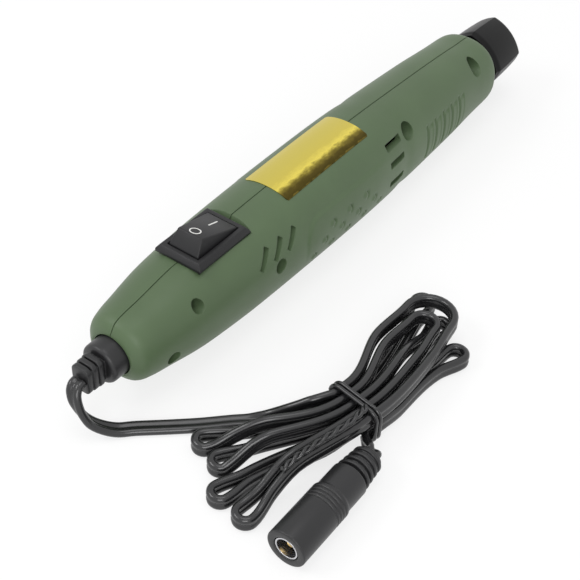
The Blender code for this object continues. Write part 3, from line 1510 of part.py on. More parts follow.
# Socket
def make_socket(lead):
    """Inline power socket: its mouth faces -X, and the lead enters behind."""
    x, y = SOCKET_FRONT
    place = (x, y, SOCKET_RADIUS)
    grip_end = SOCKET_BARREL + SOCKET_GRIP
    outline = [
        (SOCKET_HOLE_DEPTH, 0),
        (SOCKET_HOLE_DEPTH, SOCKET_HOLE_RADIUS),
        (0, SOCKET_HOLE_RADIUS),
        (0, SOCKET_RADIUS - SOCKET_EDGE),
        (SOCKET_EDGE, SOCKET_RADIUS),
        (SOCKET_BARREL, SOCKET_RADIUS),
        (SOCKET_BARREL + SOCKET_EDGE, SOCKET_GRIP_RADIUS),
        (grip_end, SOCKET_GRIP_RADIUS),
        (grip_end, SOCKET_NECK_RADIUS),
    ]
    for i in range(SOCKET_RIB_COUNT):
        start = grip_end + SOCKET_RIB_PITCH * (i + 1 / 2)
        rib = SOCKET_RIB_RADIUS - SOCKET_RIB_SHRINK * i
        outline += [
            (start, SOCKET_NECK_RADIUS),
            (start, rib),
            (start + SOCKET_RIB_PITCH / 2, rib),
            (start + SOCKET_RIB_PITCH / 2, SOCKET_NECK_RADIUS),
        ]
    rear = grip_end + SOCKET_RIB_PITCH * (SOCKET_RIB_COUNT + 1 / 2)
    outline += [(rear, SOCKET_NECK_RADIUS), (rear, 0)]
    turned("socket_body", black_vinyl(), outline, place, lead)
    length = SOCKET_HOLE_DEPTH - SLEEVE_SETBACK - FACE_GAP
    sleeve = tube(SLEEVE_SETBACK, length, SLEEVE_OUTER, SLEEVE_INNER)
    turned("socket_sleeve", steel(), sleeve, place, lead)
    pin = rod(PIN_SETBACK, SOCKET_HOLE_DEPTH - PIN_SETBACK - FACE_GAP, PIN_RADIUS)
    turned("socket_pin", brass(), pin, place, lead, SMALL_SIDES)


def anchor(name, place):
    made = bpy.data.objects.new(name, None)
    bpy.context.scene.collection.objects.link(made)
    made.location = place
    return made


def main():
    clear_scene()
    axis = anchor("casing_axis", (REAR_X, 0, AXIS_HEIGHT))
    make_shells(axis)
    make_screws(axis)
    make_plate(axis)
    make_nose_cap(axis)
    make_switch(axis)
    make_motor(axis)
    make_rotor(axis)
    make_bearings(axis)
    make_chuck(axis)
    make_relief(axis)
    make_inner_leads(axis)
    lead = anchor("lead_exit", (LEAD_EXIT, 0, 0))
    make_cord_run(lead)
    make_hank(lead)
    make_tie(lead)
    make_socket(lead)


main()
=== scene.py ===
"""Pen sander with a flat twin lead in a hank, dressed for its picture.

Metres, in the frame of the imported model: +X towards the nose, +Z up, the floor at z = 0.
Outer pieces are rebuilt finely over their solids; the pieces inside keep their solids
and take new materials. A tool piece's place is given by its station, the distance from
the rear end of the casing, and by its height above the casing's axis.
"""
import fnmatch
from math import copysign, cos, hypot, pi, radians, sin, sqrt, tau

import bmesh
import bpy
from mathutils import Matrix, Vector


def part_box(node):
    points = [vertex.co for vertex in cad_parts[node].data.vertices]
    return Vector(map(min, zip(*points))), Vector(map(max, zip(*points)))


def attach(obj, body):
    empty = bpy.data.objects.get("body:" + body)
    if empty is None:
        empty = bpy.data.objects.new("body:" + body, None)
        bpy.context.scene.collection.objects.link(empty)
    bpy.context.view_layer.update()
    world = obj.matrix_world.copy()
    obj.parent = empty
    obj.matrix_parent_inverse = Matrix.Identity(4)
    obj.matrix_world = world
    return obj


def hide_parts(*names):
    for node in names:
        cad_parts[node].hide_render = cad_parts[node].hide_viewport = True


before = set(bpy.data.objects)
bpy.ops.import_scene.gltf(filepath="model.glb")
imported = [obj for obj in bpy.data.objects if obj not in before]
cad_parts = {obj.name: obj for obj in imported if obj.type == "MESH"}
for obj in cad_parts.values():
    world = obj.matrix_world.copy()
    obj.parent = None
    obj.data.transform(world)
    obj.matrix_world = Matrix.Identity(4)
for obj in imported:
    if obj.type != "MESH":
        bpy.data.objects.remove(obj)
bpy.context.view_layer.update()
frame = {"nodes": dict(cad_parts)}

# Casing, as in the solid model
BODY_LENGTH = 0.1735
BODY_HALF_WIDTH = 0.0151
BODY_HALF_TOP = 0.0158
BODY_HALF_UNDER = 0.0150
AXIS_HEIGHT = 0.0145
SECTION_POWER = 2.24
WALL = 0.0018
REAR_WALL = 0.0022
SEAT_GAP = 0.0003
OVERRUN = 0.004
CUT_REACH = BODY_HALF_WIDTH + OVERRUN
REAR_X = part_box("shell_right")[0][0]
OUTLINE_SHARES = (
    (0.000, 0.44, 0.42),
    (0.010, 0.60, 0.58),
    (0.030, 0.690, 0.650),
    (0.060, 0.760, 0.690),
    (0.120, 0.868, 0.805),
    (0.180, 0.918, 0.880),
    (0.250, 0.954, 0.935),
    (0.400, 0.988, 0.982),
    (0.540, 1.000, 1.000),
    (0.630, 0.985, 0.985),
    (0.662, 0.952, 0.972),
    (0.684, 0.963, 0.965),
    (0.760, 0.938, 0.930),
    (0.850, 0.900, 0.885),
    (0.905, 0.860, 0.845),
    (0.928, 0.848, 0.825),
    (0.950, 0.842, 0.805),
    (0.980, 0.826, 0.792),
    (0.993, 0.802, 0.768),
    (1.000, 0.740, 0.715),
)
SEAM_GAP = 0.00020
SEAM_CHAMFER = 0.00012
OUTER_SIDES = 140
INNER_SIDES = 16
INNER_STATIONS = 24
SUPPORT_SIDES = 24
CORNER_STEPS = 5
CORNER_REACH_SHARE = 0.45
EDGE_SEGMENTS = 3
EDGE_ANGLE = radians(30)
ROUND_STEPS = 4

# Angles between faces, in degrees, above which an edge stays sharp
SHARP = 35
SHELL_SHARP = 32
ROUNDED_SHARP = 50
CAP_SHARP = 28
RELIEF_SHARP = 40
LEAD_SHARP = 60
SOCKET_SHARP = 40
SLEEVE_SHARP = 30
SLOT_CORNER_SHARE = 0.2
WEB_INSET_SHARE = 0.1
CRADLE_INSET = 0.0030
CRADLE_THICKNESS = 0.0020

# Rows of the casing's mesh: from station, to station, spacing
ROW_ZONES = (
    (0.0000, 0.0060, 0.0006),
    (0.0060, 0.0600, 0.0015),
    (0.0600, 0.1060, 0.00040),
    (0.1060, 0.1250, 0.0010),
    (0.1250, 0.1530, 0.00020),
    (0.1530, 0.1600, 0.0010),
    (0.1600, 0.1735, 0.0006),
)

# Switch
SWITCH_STATION = 0.0360
SWITCH_FLAT_HEIGHT = 0.0130
SWITCH_FLAT_BEHIND = 0.0150
SWITCH_FLAT_AHEAD = 0.0106
SWITCH_RAMP = 0.0016
SWITCH_SEAT_LENGTH = 0.0320
SWITCH_BODY_LENGTH = 0.0190
SWITCH_BODY_WIDTH = 0.0128
SWITCH_BODY_DEPTH = 0.0120
SWITCH_BODY_WALL = 0.0012
BEZEL_LENGTH = 0.0210
BEZEL_WIDTH = 0.0150
BEZEL_THICKNESS = 0.0020
BEZEL_EDGE = 0.0009
BEZEL_SLOPE = 0.0010
BEZEL_BASE = SWITCH_FLAT_HEIGHT + 0.00005
BEZEL_TOP = SWITCH_FLAT_HEIGHT + SEAT_GAP + BEZEL_THICKNESS
ROCKER_LENGTH = 0.0160
ROCKER_WIDTH = 0.0098
ROCKER_GAP = 0.0003
ROCKER_RAISE = 0.0040
ROCKER_END_SLOPE = 0.0029
ROCKER_SIDE_SLOPE = 0.0009
ROCKER_FLUSH = 0.0004
ROCKER_ROUND = 0.00035
BEZEL_ROUND = 0.00018
MARK_OFF_ALONG = -0.0031
MARK_ON_ENDS = (0.0022, 0.0058)
MARK_RADIUS = 0.00145
MARK_LINE = 0.00034
MARK_BAR_SHARE = 1.2
MARK_THICKNESS = 0.00006
MARK_LIFT = 0.00003
ACROSS_TOOL = Vector((0, 1, 0))
ROCKER_PIVOT_DROP = 0.0018
ROCKER_BELLY_SHARES = ((1.0, 0.17), (0.88, 0.48), (0.38, 0.64))

# Screws
SCREW_PLACE_SHARES = (
    (0.061, -0.17),
    (0.119, 0.48),
    (0.295, 0.14),
    (0.675, 0.60),
    (0.931, 0.59),
)
SCREW_SHANK_RADIUS = 0.0010
COUNTERBORE_RADII = (0.0020, 0.0018, 0.0022, 0.0025, 0.0025)
COUNTERBORE_FLOOR = 0.0040
BOSS_WALL = 0.0009
HOLE_SIDES = 32
SCREW_HEAD_LENGTH = 0.0014
SCREW_DOME = 0.0005
SCREW_ROUND = 0.0003
SCREW_CROWN_SHARE = 0.6
SCREW_POINT_SHARE = 0.7
SCREW_CROSS_TURN = 0.4
CROSS_LENGTH = 0.0020
CROSS_WIDTH = 0.00045
CROSS_DEPTH = 0.0007

# Air slots
SLOT_FLOOR = 0.0080
REAR_SLOT_STATION = 0.0456
REAR_SLOT_PITCH = 0.0058
REAR_SLOT_COUNT = 3
REAR_SLOT_LENGTH = 0.0064
REAR_SLOT_WIDTH = 0.0018
REAR_SLOT_HEIGHT = 0.0073
REAR_SLOT_LEAN = radians(44)
FRONT_SLOT_STATION = 0.1088
FRONT_SLOT_LENGTH = 0.0080
FRONT_SLOT_WIDTH = 0.0021
FRONT_SLOT_HEIGHT_SHARES = (0.62, 0.29, -0.13)

# Grip grooves, and the panel with its nubs
GROOVE_STATION = 0.1282
GROOVE_PITCH = 0.0051
GROOVE_COUNT = 5
GROOVE_WIDTH = 0.0037
GROOVE_DEPTH = 0.00016
GROOVE_EDGE = 0.0007
GROOVE_LINE_DEPTH = 0.00080
GROOVE_LINE_PLACE = 0.00080
GROOVE_LINE_HALF = 0.00095
GROOVE_TOP_LINE_SHARE = 0.35
GROOVE_TOP = 0.0066
GROOVE_UNDER = 0.0048
GROOVE_END_EDGE = 0.0009
PANEL_HEIGHT = 0.00060
PANEL_EDGE = 0.0015
PANEL_REAR = 0.0632
PANEL_FRONT = 0.1080
PANEL_FRONT_FADE = 0.0120
PANEL_REAR_FADE = 0.0090
PANEL_UNDER_FADE = 0.0100
PANEL_TOP = 0.0080
PANEL_UNDER = -0.0080
PANEL_CORNER = 0.0060
NUB_STEEPNESS = 1.7
NUB_RADIUS = 0.0012
NUB_HEIGHT = 0.00032
MOAT_HALF = 0.00065
MOAT_DEPTH = 0.0006
NUB_PITCH = 0.0082
NUB_ROWS = ((0.0741, 0.0030, 3), (0.0703, -0.0006, 4), (0.0663, -0.0044, 5))

# Foil plate
PLATE_STATION = 0.0628
PLATE_LENGTH = 0.0390
PLATE_HALF_WIDTH = 0.0075
PLATE_LIFT = 0.00006
PLATE_THICKNESS = 0.00012
PLATE_CORNER = 0.0006
PLATE_ROWS = 90
PLATE_COLUMNS = 40

# Nose cap
CAP_REACH = 0.0200
CAP_BASE_RADIUS = 0.0092
CAP_BASE_LENGTH = 0.0026
CAP_MIDDLE_RADIUS = 0.0112
CAP_FRONT_RADIUS = 0.0103
CAP_RIM = 0.0012
CAP_FACE_SHARE = 0.885
CAP_TURN = radians(-4)
CAP_SPIGOT_LENGTH = 0.0040
CAP_FIT = 0.0003
CAP_WALL = 0.0016
CAP_FRONT_WALL = 0.0020
CAP_OPENING_RADIUS = 0.0056
CAP_SIDES = 128
CAP_ROWS = 40
CAP_REAR_ROUND = 0.0006
CAP_ROUND_SPEED = 8
CAP_LIP = 0.0005

# Strain relief
RELIEF_REACH = 0.0112
RELIEF_RADIUS = 0.0057
RELIEF_BOSS_LENGTH = 0.0050
RELIEF_ROUND = 0.0014
RELIEF_ROUND_STEPS = 8
RELIEF_FLANGE_RADIUS = 0.0067
RELIEF_FLANGE_LENGTH = 0.0020
RELIEF_CORE_WIDTH = 0.0050
RELIEF_CORE_HEIGHT = 0.0062
RELIEF_RIB_WIDTH = 0.0062
RELIEF_RIB_HEIGHT = 0.0088
RELIEF_RIB_THICKNESS = 0.0015
RELIEF_RIB_COUNT = 3
RELIEF_RIB_SHRINK = 0.0003
RELIEF_EDGE = 0.00025
EXIT_GAP = 0.00035
LEAD_EXIT = REAR_X - RELIEF_REACH - EXIT_GAP

# Flat twin lead: its run, then its hank, as in the solid model
CORD_WIDTH = 0.0044
CORD_THICKNESS = 0.0022
UPWARDS = Vector((0, 0, 1))
CORE_GROOVE = radians(132)
CORE_STEPS = 8
GROOVE_SHARE = 0.78
CORD_RUN = (
    (0, 0.0000, 0.0145, 90, 0),
    (-0.0015, -0.0001, 0.0142, 90, 0),
    (-0.0028, -0.0006, 0.0128, 88, 0),
    (-0.0034, -0.0016, 0.0104, 82, 0),
    (-0.0032, -0.0030, 0.0075, 70, 0),
    (-0.0023, -0.0048, 0.0048, 58, 0),
    (-0.0004, -0.0070, 0.0027, 50, 0),
    (0.0021, -0.0096, 0.0014, 45, 0),
    (0.0054, -0.0126, 0.0011, 42, 0),
    (0.0106, -0.0185, 0.0011, 40, 0),
    (0.0160, -0.0244, 0.0011, 42, 0),
    (0.0218, -0.0301, 0.0011, 40, 0),
)
RUN_STEPS = 6
HANK_CENTRE = (0.0405, -0.0546)
HANK_TURN = radians(-10)
WAIST_LOW = 0.0034
WAIST_LAYER = 0.0049
WAIST_PITCH = 0.0029
WAIST_HALF = 0.0025
WAIST_COLUMNS = 5
STRAND_LOW = 0.00225
LAYER_DROP = 0.0060
WAIST_REACH = hypot(WAIST_HALF, WAIST_PITCH * (WAIST_COLUMNS - 1) / 2)
LOW = 0
UP = 1
ARCH_HEIGHT = 0.0072
FOLD_THROAT = (0.0080, 0.0014)
FINGERS = (
    (1, (0, UP), (4, UP), 4.0, 0.0460, 0.0068, (0.0140, 0.0080), (0.0052, 0.0362), ARCH_HEIGHT),
    (-1, (4, UP), (3, UP), 175.0, 0.0425, 0.0024, FOLD_THROAT, (0.0162, 0.0332), STRAND_LOW),
    (1, (3, UP), (1, UP), 3.5, 0.0390, 0.0036, (0.0120, 0.0046), (0.0052, 0.0362), ARCH_HEIGHT),
    (-1, (1, UP), (0, LOW), 139.0, 0.0405, 0.0024, FOLD_THROAT, (0.0152, 0.0322), STRAND_LOW),
    (1, (0, LOW), (1, LOW), 11.0, 0.0505, 0.0026, FOLD_THROAT, (0.0052, 0.0242), STRAND_LOW),
    (-1, (1, LOW), (2, UP), 150.5, 0.0385, 0.0024, FOLD_THROAT, (0.0162, 0.0322), STRAND_LOW),
    (1, (2, UP), (2, LOW), 0.5, 0.0445, 0.0026, FOLD_THROAT, (0.0122, 0.0322), STRAND_LOW),
    (-1, (2, LOW), (3, LOW), 163.0, 0.0430, 0.0024, FOLD_THROAT, (0.0172, 0.0342), STRAND_LOW),
    (1, (3, LOW), (4, LOW), -13.5, 0.0390, 0.0026, FOLD_THROAT, (0.0052, 0.0242), STRAND_LOW),
)
STRAND_STEPS = 12
THROAT_STEPS = 6
FOLD_STEPS = 14
HANK_ENTRY = (
    (0.0251, -0.0337, 0.0012, 44, 5),
    (0.0285, -0.0374, 0.0021, 44, 40),
    (0.0317, -0.0414, 0.0047, 42, 80),
    (0.0350, -0.0455, 0.0076, 42, 90),
)
HANK_EXIT = (
    (0.0349, -0.0617, 0.0038, 60, 88),
    (0.0339, -0.0635, 0.0045, 75, 60),
    (0.0330, -0.0649, 0.0051, 88, 25),
    (0.0321, -0.0654, 0.0053, 90, 0),
    (0.0312, -0.0654, 0.0053, 90, 0),
)

# Tie round the hank
TIE_RADIUS = 0.00055
TAIL_RADIUS = 0.0005
TAIL_STEPS = 12
LEAST_SIDE = 0.1
TIE_CLEARANCE = 0.0002
TIE_ROUND = 0.0026
TIE_WRAPS = 2
TIE_PITCH = 0.0014
TAIL_TURNS = 5
TAIL_SPREAD = 0.00045
TIE_TAIL = (
    (0.0388, -0.0586, 0.0116),
    (0.0359, -0.0589, 0.0124),
    (0.0310, -0.0585, 0.0126),
    (0.0255, -0.0572, 0.0125),
    (0.0200, -0.0557, 0.0122),
    (0.0155, -0.0545, 0.0117),
    (0.0115, -0.0536, 0.0103),
)

# Socket on the lead's end
SOCKET_RADIUS = 0.0053
SOCKET_BARREL = 0.0175
SOCKET_GRIP = 0.0080
SOCKET_GRIP_RADIUS = 0.0049
SOCKET_EDGE = 0.0005
SOCKET_RIB_COUNT = 4
SOCKET_RIB_PITCH = 0.0019
SOCKET_RIB_RADIUS = 0.0046
SOCKET_RIB_SHRINK = 0.0002
SOCKET_NECK_RADIUS = 0.0034
SOCKET_HOLE_RADIUS = 0.0033
SOCKET_HOLE_DEPTH = 0.0100
SOCKET_RINGS = 4
SOCKET_RING_PITCH = 0.0011
SOCKET_RING_DEPTH = 0.00018
SOCKET_ROUND = 0.0004
SOCKET_ROUND_STEPS = 3
SLEEVE_WALL = 0.0004
ROUND_SIDES = 64
TUBE_SIDES = 12

# Camera: the casing lies across the picture from the lower left to the upper right
CAMERA_PLACE = (-0.2382, -0.15545, 0.2291)
CAMERA_RIGHT = (0.59525, -0.80285, 0.03332)
CAMERA_DOWN = (-0.52564, -0.42041, -0.73957)
CAMERA_AHEAD = (0.60777, 0.42271, -0.67226)
CAMERA_LENS = 74.48
CAMERA_SENSOR = 36.0
CAMERA_CLIP = 0.01

# Studio; each light has its name, place, size and power
WHITE = (1, 1, 1, 1)
FLOOR_HALF = 3.0
FLOOR_WHITE = (0.93, 0.93, 0.93)
FLOOR_ROUGHNESS = 0.9
FLOOR_DRIFT_SCALE = 3.0
FLOOR_LIGHTER = 1.01
FLOOR_GLOW = 0.75
WORLD_STRENGTH = 0.72
LIGHT_AIM = (-0.02, -0.02, 0.01)
LIGHTS = (
    ("key", (-0.52, 0.52, 0.72), (0.50, 0.25), 2.3),
    ("fill", (-0.70, -0.50, 0.48), (0.45, 0.45), 2.8),
    ("top", (-0.05, -0.05, 0.95), (0.45, 0.45), 1.4),
)

# Surfaces: how colour and sheen drift, the grain, and how edges are rounded for the light
LIGHTER = 1.10
PLASTIC_DRIFT_SCALE = 55.0
DRIFT_FROM = 0.35
DRIFT_TO = 0.65
SHEEN_SCALE = 130.0
SHEEN_SPREAD = (-0.04, 0.06)
GRAIN_DETAIL = 2.0
GRAIN_DEPTH = 0.00004
EDGE_SAMPLES = 6

# Plastics: name, colour, roughness, shine, grain's scale and strength, how round its edges look
PLASTICS = {
    "green": ("green_plastic", (0.075, 0.116, 0.057), 0.44, 0.37, 9000, 0.28, 0.00035),
    "black": ("black_plastic", (0.012, 0.012, 0.013), 0.44, 0.34, 7000, 0.25, 0.0003),
    "cap": ("cap_plastic", (0.0035, 0.0035, 0.0037), 0.34, 0.17, 6500, 0.30, 0.0003),
    "dark": ("dark_plastic", (0.030, 0.027, 0.024), 0.55, 0.45, 6000, 0.30, 0.0002),
    "vinyl": ("black_vinyl", (0.013, 0.013, 0.014), 0.22, 0.60, 2500, 0.16, 0),
    "rubber": ("soft_black", (0.014, 0.014, 0.015), 0.38, 0.45, 4500, 0.30, 0.0003),
    "red": ("red_vinyl", (0.42, 0.016, 0.014), 0.36, 0.45, 2500, 0.20, 0),
    "mark": ("white_mark", (0.72, 0.72, 0.70), 0.50, 0.45, 3000, 0.10, 0),
    "ferrite": ("ferrite", (0.060, 0.060, 0.064), 0.60, 0.45, 5000, 0.50, 0),
    "carbon": ("carbon", (0.022, 0.022, 0.023), 0.70, 0.45, 4000, 0.60, 0),
}

# Fine lines in metal: their stretch, scale, spread of roughness, strength and depth
LENGTHWISE = (0.04, 1, 1)
ACROSS = (1, 0.04, 0.04)
LINE_SCALE = 900.0
LINE_SPREAD = (-0.08, 0.12)
LINE_STRENGTH = 0.25
LINE_DEPTH = 0.00002
METAL_EDGE = 0.00015

# Metals: name, colour, roughness, and the stretch of their fine lines
METALS = {
    "steel": ("turned_steel", (0.58, 0.58, 0.60), 0.26, ACROSS),
    "zinc": ("zinc_steel", (0.46, 0.47, 0.48), 0.42, LENGTHWISE),
    "brass": ("turned_brass", (0.70, 0.50, 0.20), 0.28, ACROSS),
    "copper": ("copper_strip", (0.66, 0.28, 0.13), 0.32, LENGTHWISE),
}

# Foil across the plate, from its right edge to its left: place as a share, and colour
# The dark brown band at the right edge is painted shade, and the bright band at 0.27 a painted highlight
FOIL_GOLD_AND_PAINTED_LIGHT = (
    (0.000, (0.15, 0.115, 0.024)),
    (0.020, (0.065, 0.050, 0.011)),
    (0.110, (0.095, 0.072, 0.016)),
    (0.185, (0.24, 0.19, 0.035)),
    (0.270, (0.80, 0.66, 0.120)),
    (0.400, (0.63, 0.52, 0.100)),
    (0.620, (0.61, 0.51, 0.108)),
    (1.000, (0.61, 0.505, 0.105)),
)

# The foil's patches and crinkles; a noise has its scale, its detail and its stretch
FOIL_DRIFT = 0.17
FOIL_PATCHES = (900.0, 6.0, (0.5, 1, 1))
FOIL_ROUGHNESS = 0.22
FOIL_SHEEN_SCALE = 300.0
FOIL_CRINKLES = (700.0, 4.0)
FOIL_CRINKLE_STRENGTH = 0.45
FOIL_CRINKLE_DEPTH = 0.00006

# Enamelled wire of the motor
WIRE_COLOR = (0.52, 0.19, 0.06)
WIRE_ROUGHNESS = 0.35
WIRE_METALLIC = 0.9
WIRE_SCALE = 900.0
WIRE_DISTORTION = 0.6
WIRE_STRENGTH = 0.8
WIRE_DEPTH = 0.0001

# Looks of the solids that show as they are, by patterns of their names
SOLID_LOOKS = {
    "steel": ("motor_shaft", "spindle", "*_race"),
    "zinc": ("motor_can", "armature_core", "chuck_nut", "coupling_screw_*"),
    "brass": ("*_bush", "*_cage", "switch_terminal_*", "shaft_coupling", "collet", "socket_pin"),
    "copper": ("motor_terminal_*", "commutator"),
    "windings": ("armature_coil_*",),
    "ferrite": ("motor_magnet_*",),
    "carbon": ("motor_brush_*",),
    "dark": ("motor_end_cap",),
    "red": ("cord_to_switch_lead", "switch_to_motor_lead"),
    "vinyl": ("cord_to_motor_lead",),
}


# Objects and the camera
def add_object(name, data):
    made = bpy.data.objects.new(name, data)
    bpy.context.scene.collection.objects.link(made)
    return made


def make_camera():
    data = bpy.data.cameras.new("camera")
    data.sensor_fit = "HORIZONTAL"
    data.sensor_width = CAMERA_SENSOR
    data.lens = CAMERA_LENS
    data.clip_start = CAMERA_CLIP
    camera = add_object("camera", data)
    turn = Matrix((CAMERA_RIGHT, -Vector(CAMERA_DOWN), -Vector(CAMERA_AHEAD))).transposed()
    camera.matrix_world = Matrix.Translation(CAMERA_PLACE) @ turn.to_4x4()
    bpy.context.scene.camera = camera


# Materials
def shader_material(name, color, roughness, metallic=0.0):
    """A Principled material, and its tree and shader for adding detail."""
    made = bpy.data.materials.new(name)
    made.use_nodes = True
    tree = made.node_tree
    shader = tree.nodes["Principled BSDF"]
    shader.inputs["Base Color"].default_value = (*color, 1.0)
    shader.inputs["Roughness"].default_value = roughness
    shader.inputs["Metallic"].default_value = metallic
    return made, tree, shader


def plug(tree, socket, value):
    """Link an output to the input socket, or set the input's own value."""
    if isinstance(value, bpy.types.NodeSocket):
        tree.links.new(value, socket)
    else:
        socket.default_value = value


def node(tree, kind, *inputs, **values):
    """A node with its first inputs in their order, and other inputs and settings by name."""
    made = tree.nodes.new(f"ShaderNode{kind}")
    for socket, value in zip(made.inputs, inputs):
        plug(tree, socket, value)
    for key, value in values.items():
        name = key.replace("_", " ")
        if name in made.inputs:
            plug(tree, made.inputs[name], value)
        else:
            setattr(made, key, value)
    return made


def object_place(tree, stretch=(1, 1, 1)):
    place = node(tree, "TexCoord").outputs["Object"]
    return node(tree, "Mapping", place, Scale=stretch).outputs["Vector"]


def noise(tree, scale, detail=3.0, stretch=(1, 1, 1)):
    place = object_place(tree, stretch)
    return node(tree, "TexNoise", place, Scale=scale, Detail=detail).outputs["Fac"]


def vary_color(tree, shader, source, stops):
    """Colours along the source, from rows of a place and a colour."""
    ramp = node(tree, "ValToRGB", source)
    elements = ramp.color_ramp.elements
    while len(elements) < len(stops):
        elements.new(1.0)
    for element, (place, color) in zip(elements, stops):
        element.position = place
        element.color = (*color, 1.0)
    tree.links.new(ramp.outputs["Color"], shader.inputs["Base Color"])


def drift_color(tree, shader, scale, color, gain):
    """Let the colour drift in patches between itself and the same colour times the gain."""
    stops = ((DRIFT_FROM, color), (DRIFT_TO, [value * gain for value in color]))
    vary_color(tree, shader, noise(tree, scale), stops)


def vary_roughness(tree, shader, source, roughness, spread):
    low, high = spread
    between = node(tree, "MapRange", source, To_Min=roughness + low, To_Max=roughness + high)
    tree.links.new(between.outputs["Result"], shader.inputs["Roughness"])


def grain(tree, shader, source, strength, distance, edge=0.0):
    """Fine grain in the surface, over edges that look rounded by the given radius."""
    bump = node(tree, "Bump", Strength=strength, Distance=distance, Height=source)
    if edge:
        bevel = node(tree, "Bevel", Radius=edge, samples=EDGE_SAMPLES)
        tree.links.new(bevel.outputs["Normal"], bump.inputs["Normal"])
    tree.links.new(bump.outputs["Normal"], shader.inputs["Normal"])


def moulded(name, color, roughness, shine, grain_scale, strength, edge):
    """Moulded plastic: fine grain, a faint unevenness in colour and sheen."""
    made, tree, shader = shader_material(name, color, roughness)
    shader.inputs["Specular IOR Level"].default_value = shine
    drift_color(tree, shader, PLASTIC_DRIFT_SCALE, color, LIGHTER)
    vary_roughness(tree, shader, noise(tree, SHEEN_SCALE), roughness, SHEEN_SPREAD)
    grain(tree, shader, noise(tree, grain_scale, GRAIN_DETAIL), strength, GRAIN_DEPTH, edge)
    return made


def brushed(name, color, roughness, stretch):
    """Turned or drawn metal: fine lines across the given stretch."""
    made, tree, shader = shader_material(name, color, roughness, 1.0)
    lines = noise(tree, LINE_SCALE, stretch=stretch)
    vary_roughness(tree, shader, lines, roughness, LINE_SPREAD)
    grain(tree, shader, lines, LINE_STRENGTH, LINE_DEPTH, METAL_EDGE)
    return made


def foil():
    """Gold foil with drifting tones, and painted shade that turns it dark brown towards its right edge,
    beside a painted highlight band.
    """
    made, tree, shader = shader_material("gold_foil", FOIL_GOLD_AND_PAINTED_LIGHT[-1][1], FOIL_ROUGHNESS, 1.0)
    side = node(tree, "SeparateXYZ", object_place(tree)).outputs["Y"]
    across = node(tree, "MapRange", side, -PLATE_HALF_WIDTH, PLATE_HALF_WIDTH)
    patches = noise(tree, *FOIL_PATCHES)
    drift = node(tree, "MapRange", patches, To_Min=-FOIL_DRIFT / 2, To_Max=FOIL_DRIFT / 2)
    total = node(tree, "Math", across.outputs["Result"], drift.outputs["Result"], operation="ADD")
    # The ramp across the width paints shade at the right edge and a highlight band beside it
    vary_color(tree, shader, total.outputs["Value"], FOIL_GOLD_AND_PAINTED_LIGHT)
    vary_roughness(tree, shader, noise(tree, FOIL_SHEEN_SCALE), FOIL_ROUGHNESS, SHEEN_SPREAD)
    grain(tree, shader, noise(tree, *FOIL_CRINKLES), FOIL_CRINKLE_STRENGTH, FOIL_CRINKLE_DEPTH)
    return made


def windings():
    """Enamelled copper wire, laid side by side."""
    made, tree, shader = shader_material("windings", WIRE_COLOR, WIRE_ROUGHNESS, WIRE_METALLIC)
    place = object_place(tree)
    turns = node(tree, "TexWave", place, Scale=WIRE_SCALE, Distortion=WIRE_DISTORTION)
    turns.bands_direction = "DIAGONAL"
    grain(tree, shader, turns.outputs["Fac"], WIRE_STRENGTH, WIRE_DEPTH)
    return made


def seen_rays(tree):
    """One for rays that show a background as it looks, and zero for those that light the object."""
    rays = node(tree, "LightPath").outputs
    seen = rays["Is Camera Ray"]
    for kind in ("Is Glossy Ray", "Is Transmission Ray"):
        seen = node(tree, "Math", seen, rays[kind], operation="ADD").outputs["Value"]
    return seen


def mix_shaders(tree, share, first, second, output):
    """Show the second shader by the given share and the first by the rest."""
    mix = node(tree, "MixShader", share, first.outputs[0], second.outputs[0])
    tree.links.new(mix.outputs["Shader"], tree.nodes[output].inputs["Surface"])


def floor_material():
    """White floor that shows in part by its own light, so that it stays white and keeps a shadow."""
    made, tree, shader = shader_material("floor", FLOOR_WHITE, FLOOR_ROUGHNESS)
    drift_color(tree, shader, FLOOR_DRIFT_SCALE, FLOOR_WHITE, FLOOR_LIGHTER)
    share = node(tree, "Math", seen_rays(tree), FLOOR_GLOW, operation="MULTIPLY")
    glow = node(tree, "Emission", Strength=1.0)
    mix_shaders(tree, share.outputs["Value"], shader, glow, "Material Output")
    return made


def make_materials():
    looks = {look: moulded(*values) for look, values in PLASTICS.items()}
    looks.update({look: brushed(*values) for look, values in METALS.items()})
    looks["foil"] = foil()
    looks["windings"] = windings()
    return looks


def dress_solids():
    """Give the solids that no finer piece stands for their materials."""
    for look, patterns in SOLID_LOOKS.items():
        for pattern in patterns:
            for name in fnmatch.filter(frame["nodes"], pattern):
                solid = frame["nodes"][name]
                solid.data.materials.clear()
                solid.data.materials.append(LOOKS[look])


# Mesh helpers
def mesh_data(name, bm):
    data = bpy.data.meshes.new(name)
    bm.to_mesh(data)
    bm.free()
    return data


def smooth(target, sharp):
    """Shade smoothly over edges below the sharp angle, in degrees."""
    target.data.shade_smooth()
    target.data.set_sharp_from_angle(angle=radians(sharp))


def mesh_object(name, bm, look, place=(0, 0, 0), sharp=SHARP):
    """An object from a mesh, shaded flat where the sharp angle is zero."""
    bmesh.ops.recalc_face_normals(bm, faces=bm.faces)
    made = add_object(name, mesh_data(name, bm))
    if sharp:
        smooth(made, sharp)
    made.location = place
    if look:
        made.data.materials.append(LOOKS[look])
    return made


def on_tool(station, y=0.0, z=0.0):
    """World place of a point given by its station and by its height above the axis."""
    return Vector((REAR_X + station, y, AXIS_HEIGHT + z))


def piece(made, body, finish, *nodes):
    """Put a finished object on its body, in the place of the solids it stands for."""
    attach(made, body)
    if nodes:
        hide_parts(*nodes)
    return made


def skin(bm, first, second):
    count = len(first)
    for i in range(count):
        j = (i + 1) % count
        bm.faces.new((first[i], first[j], second[j], second[i]))


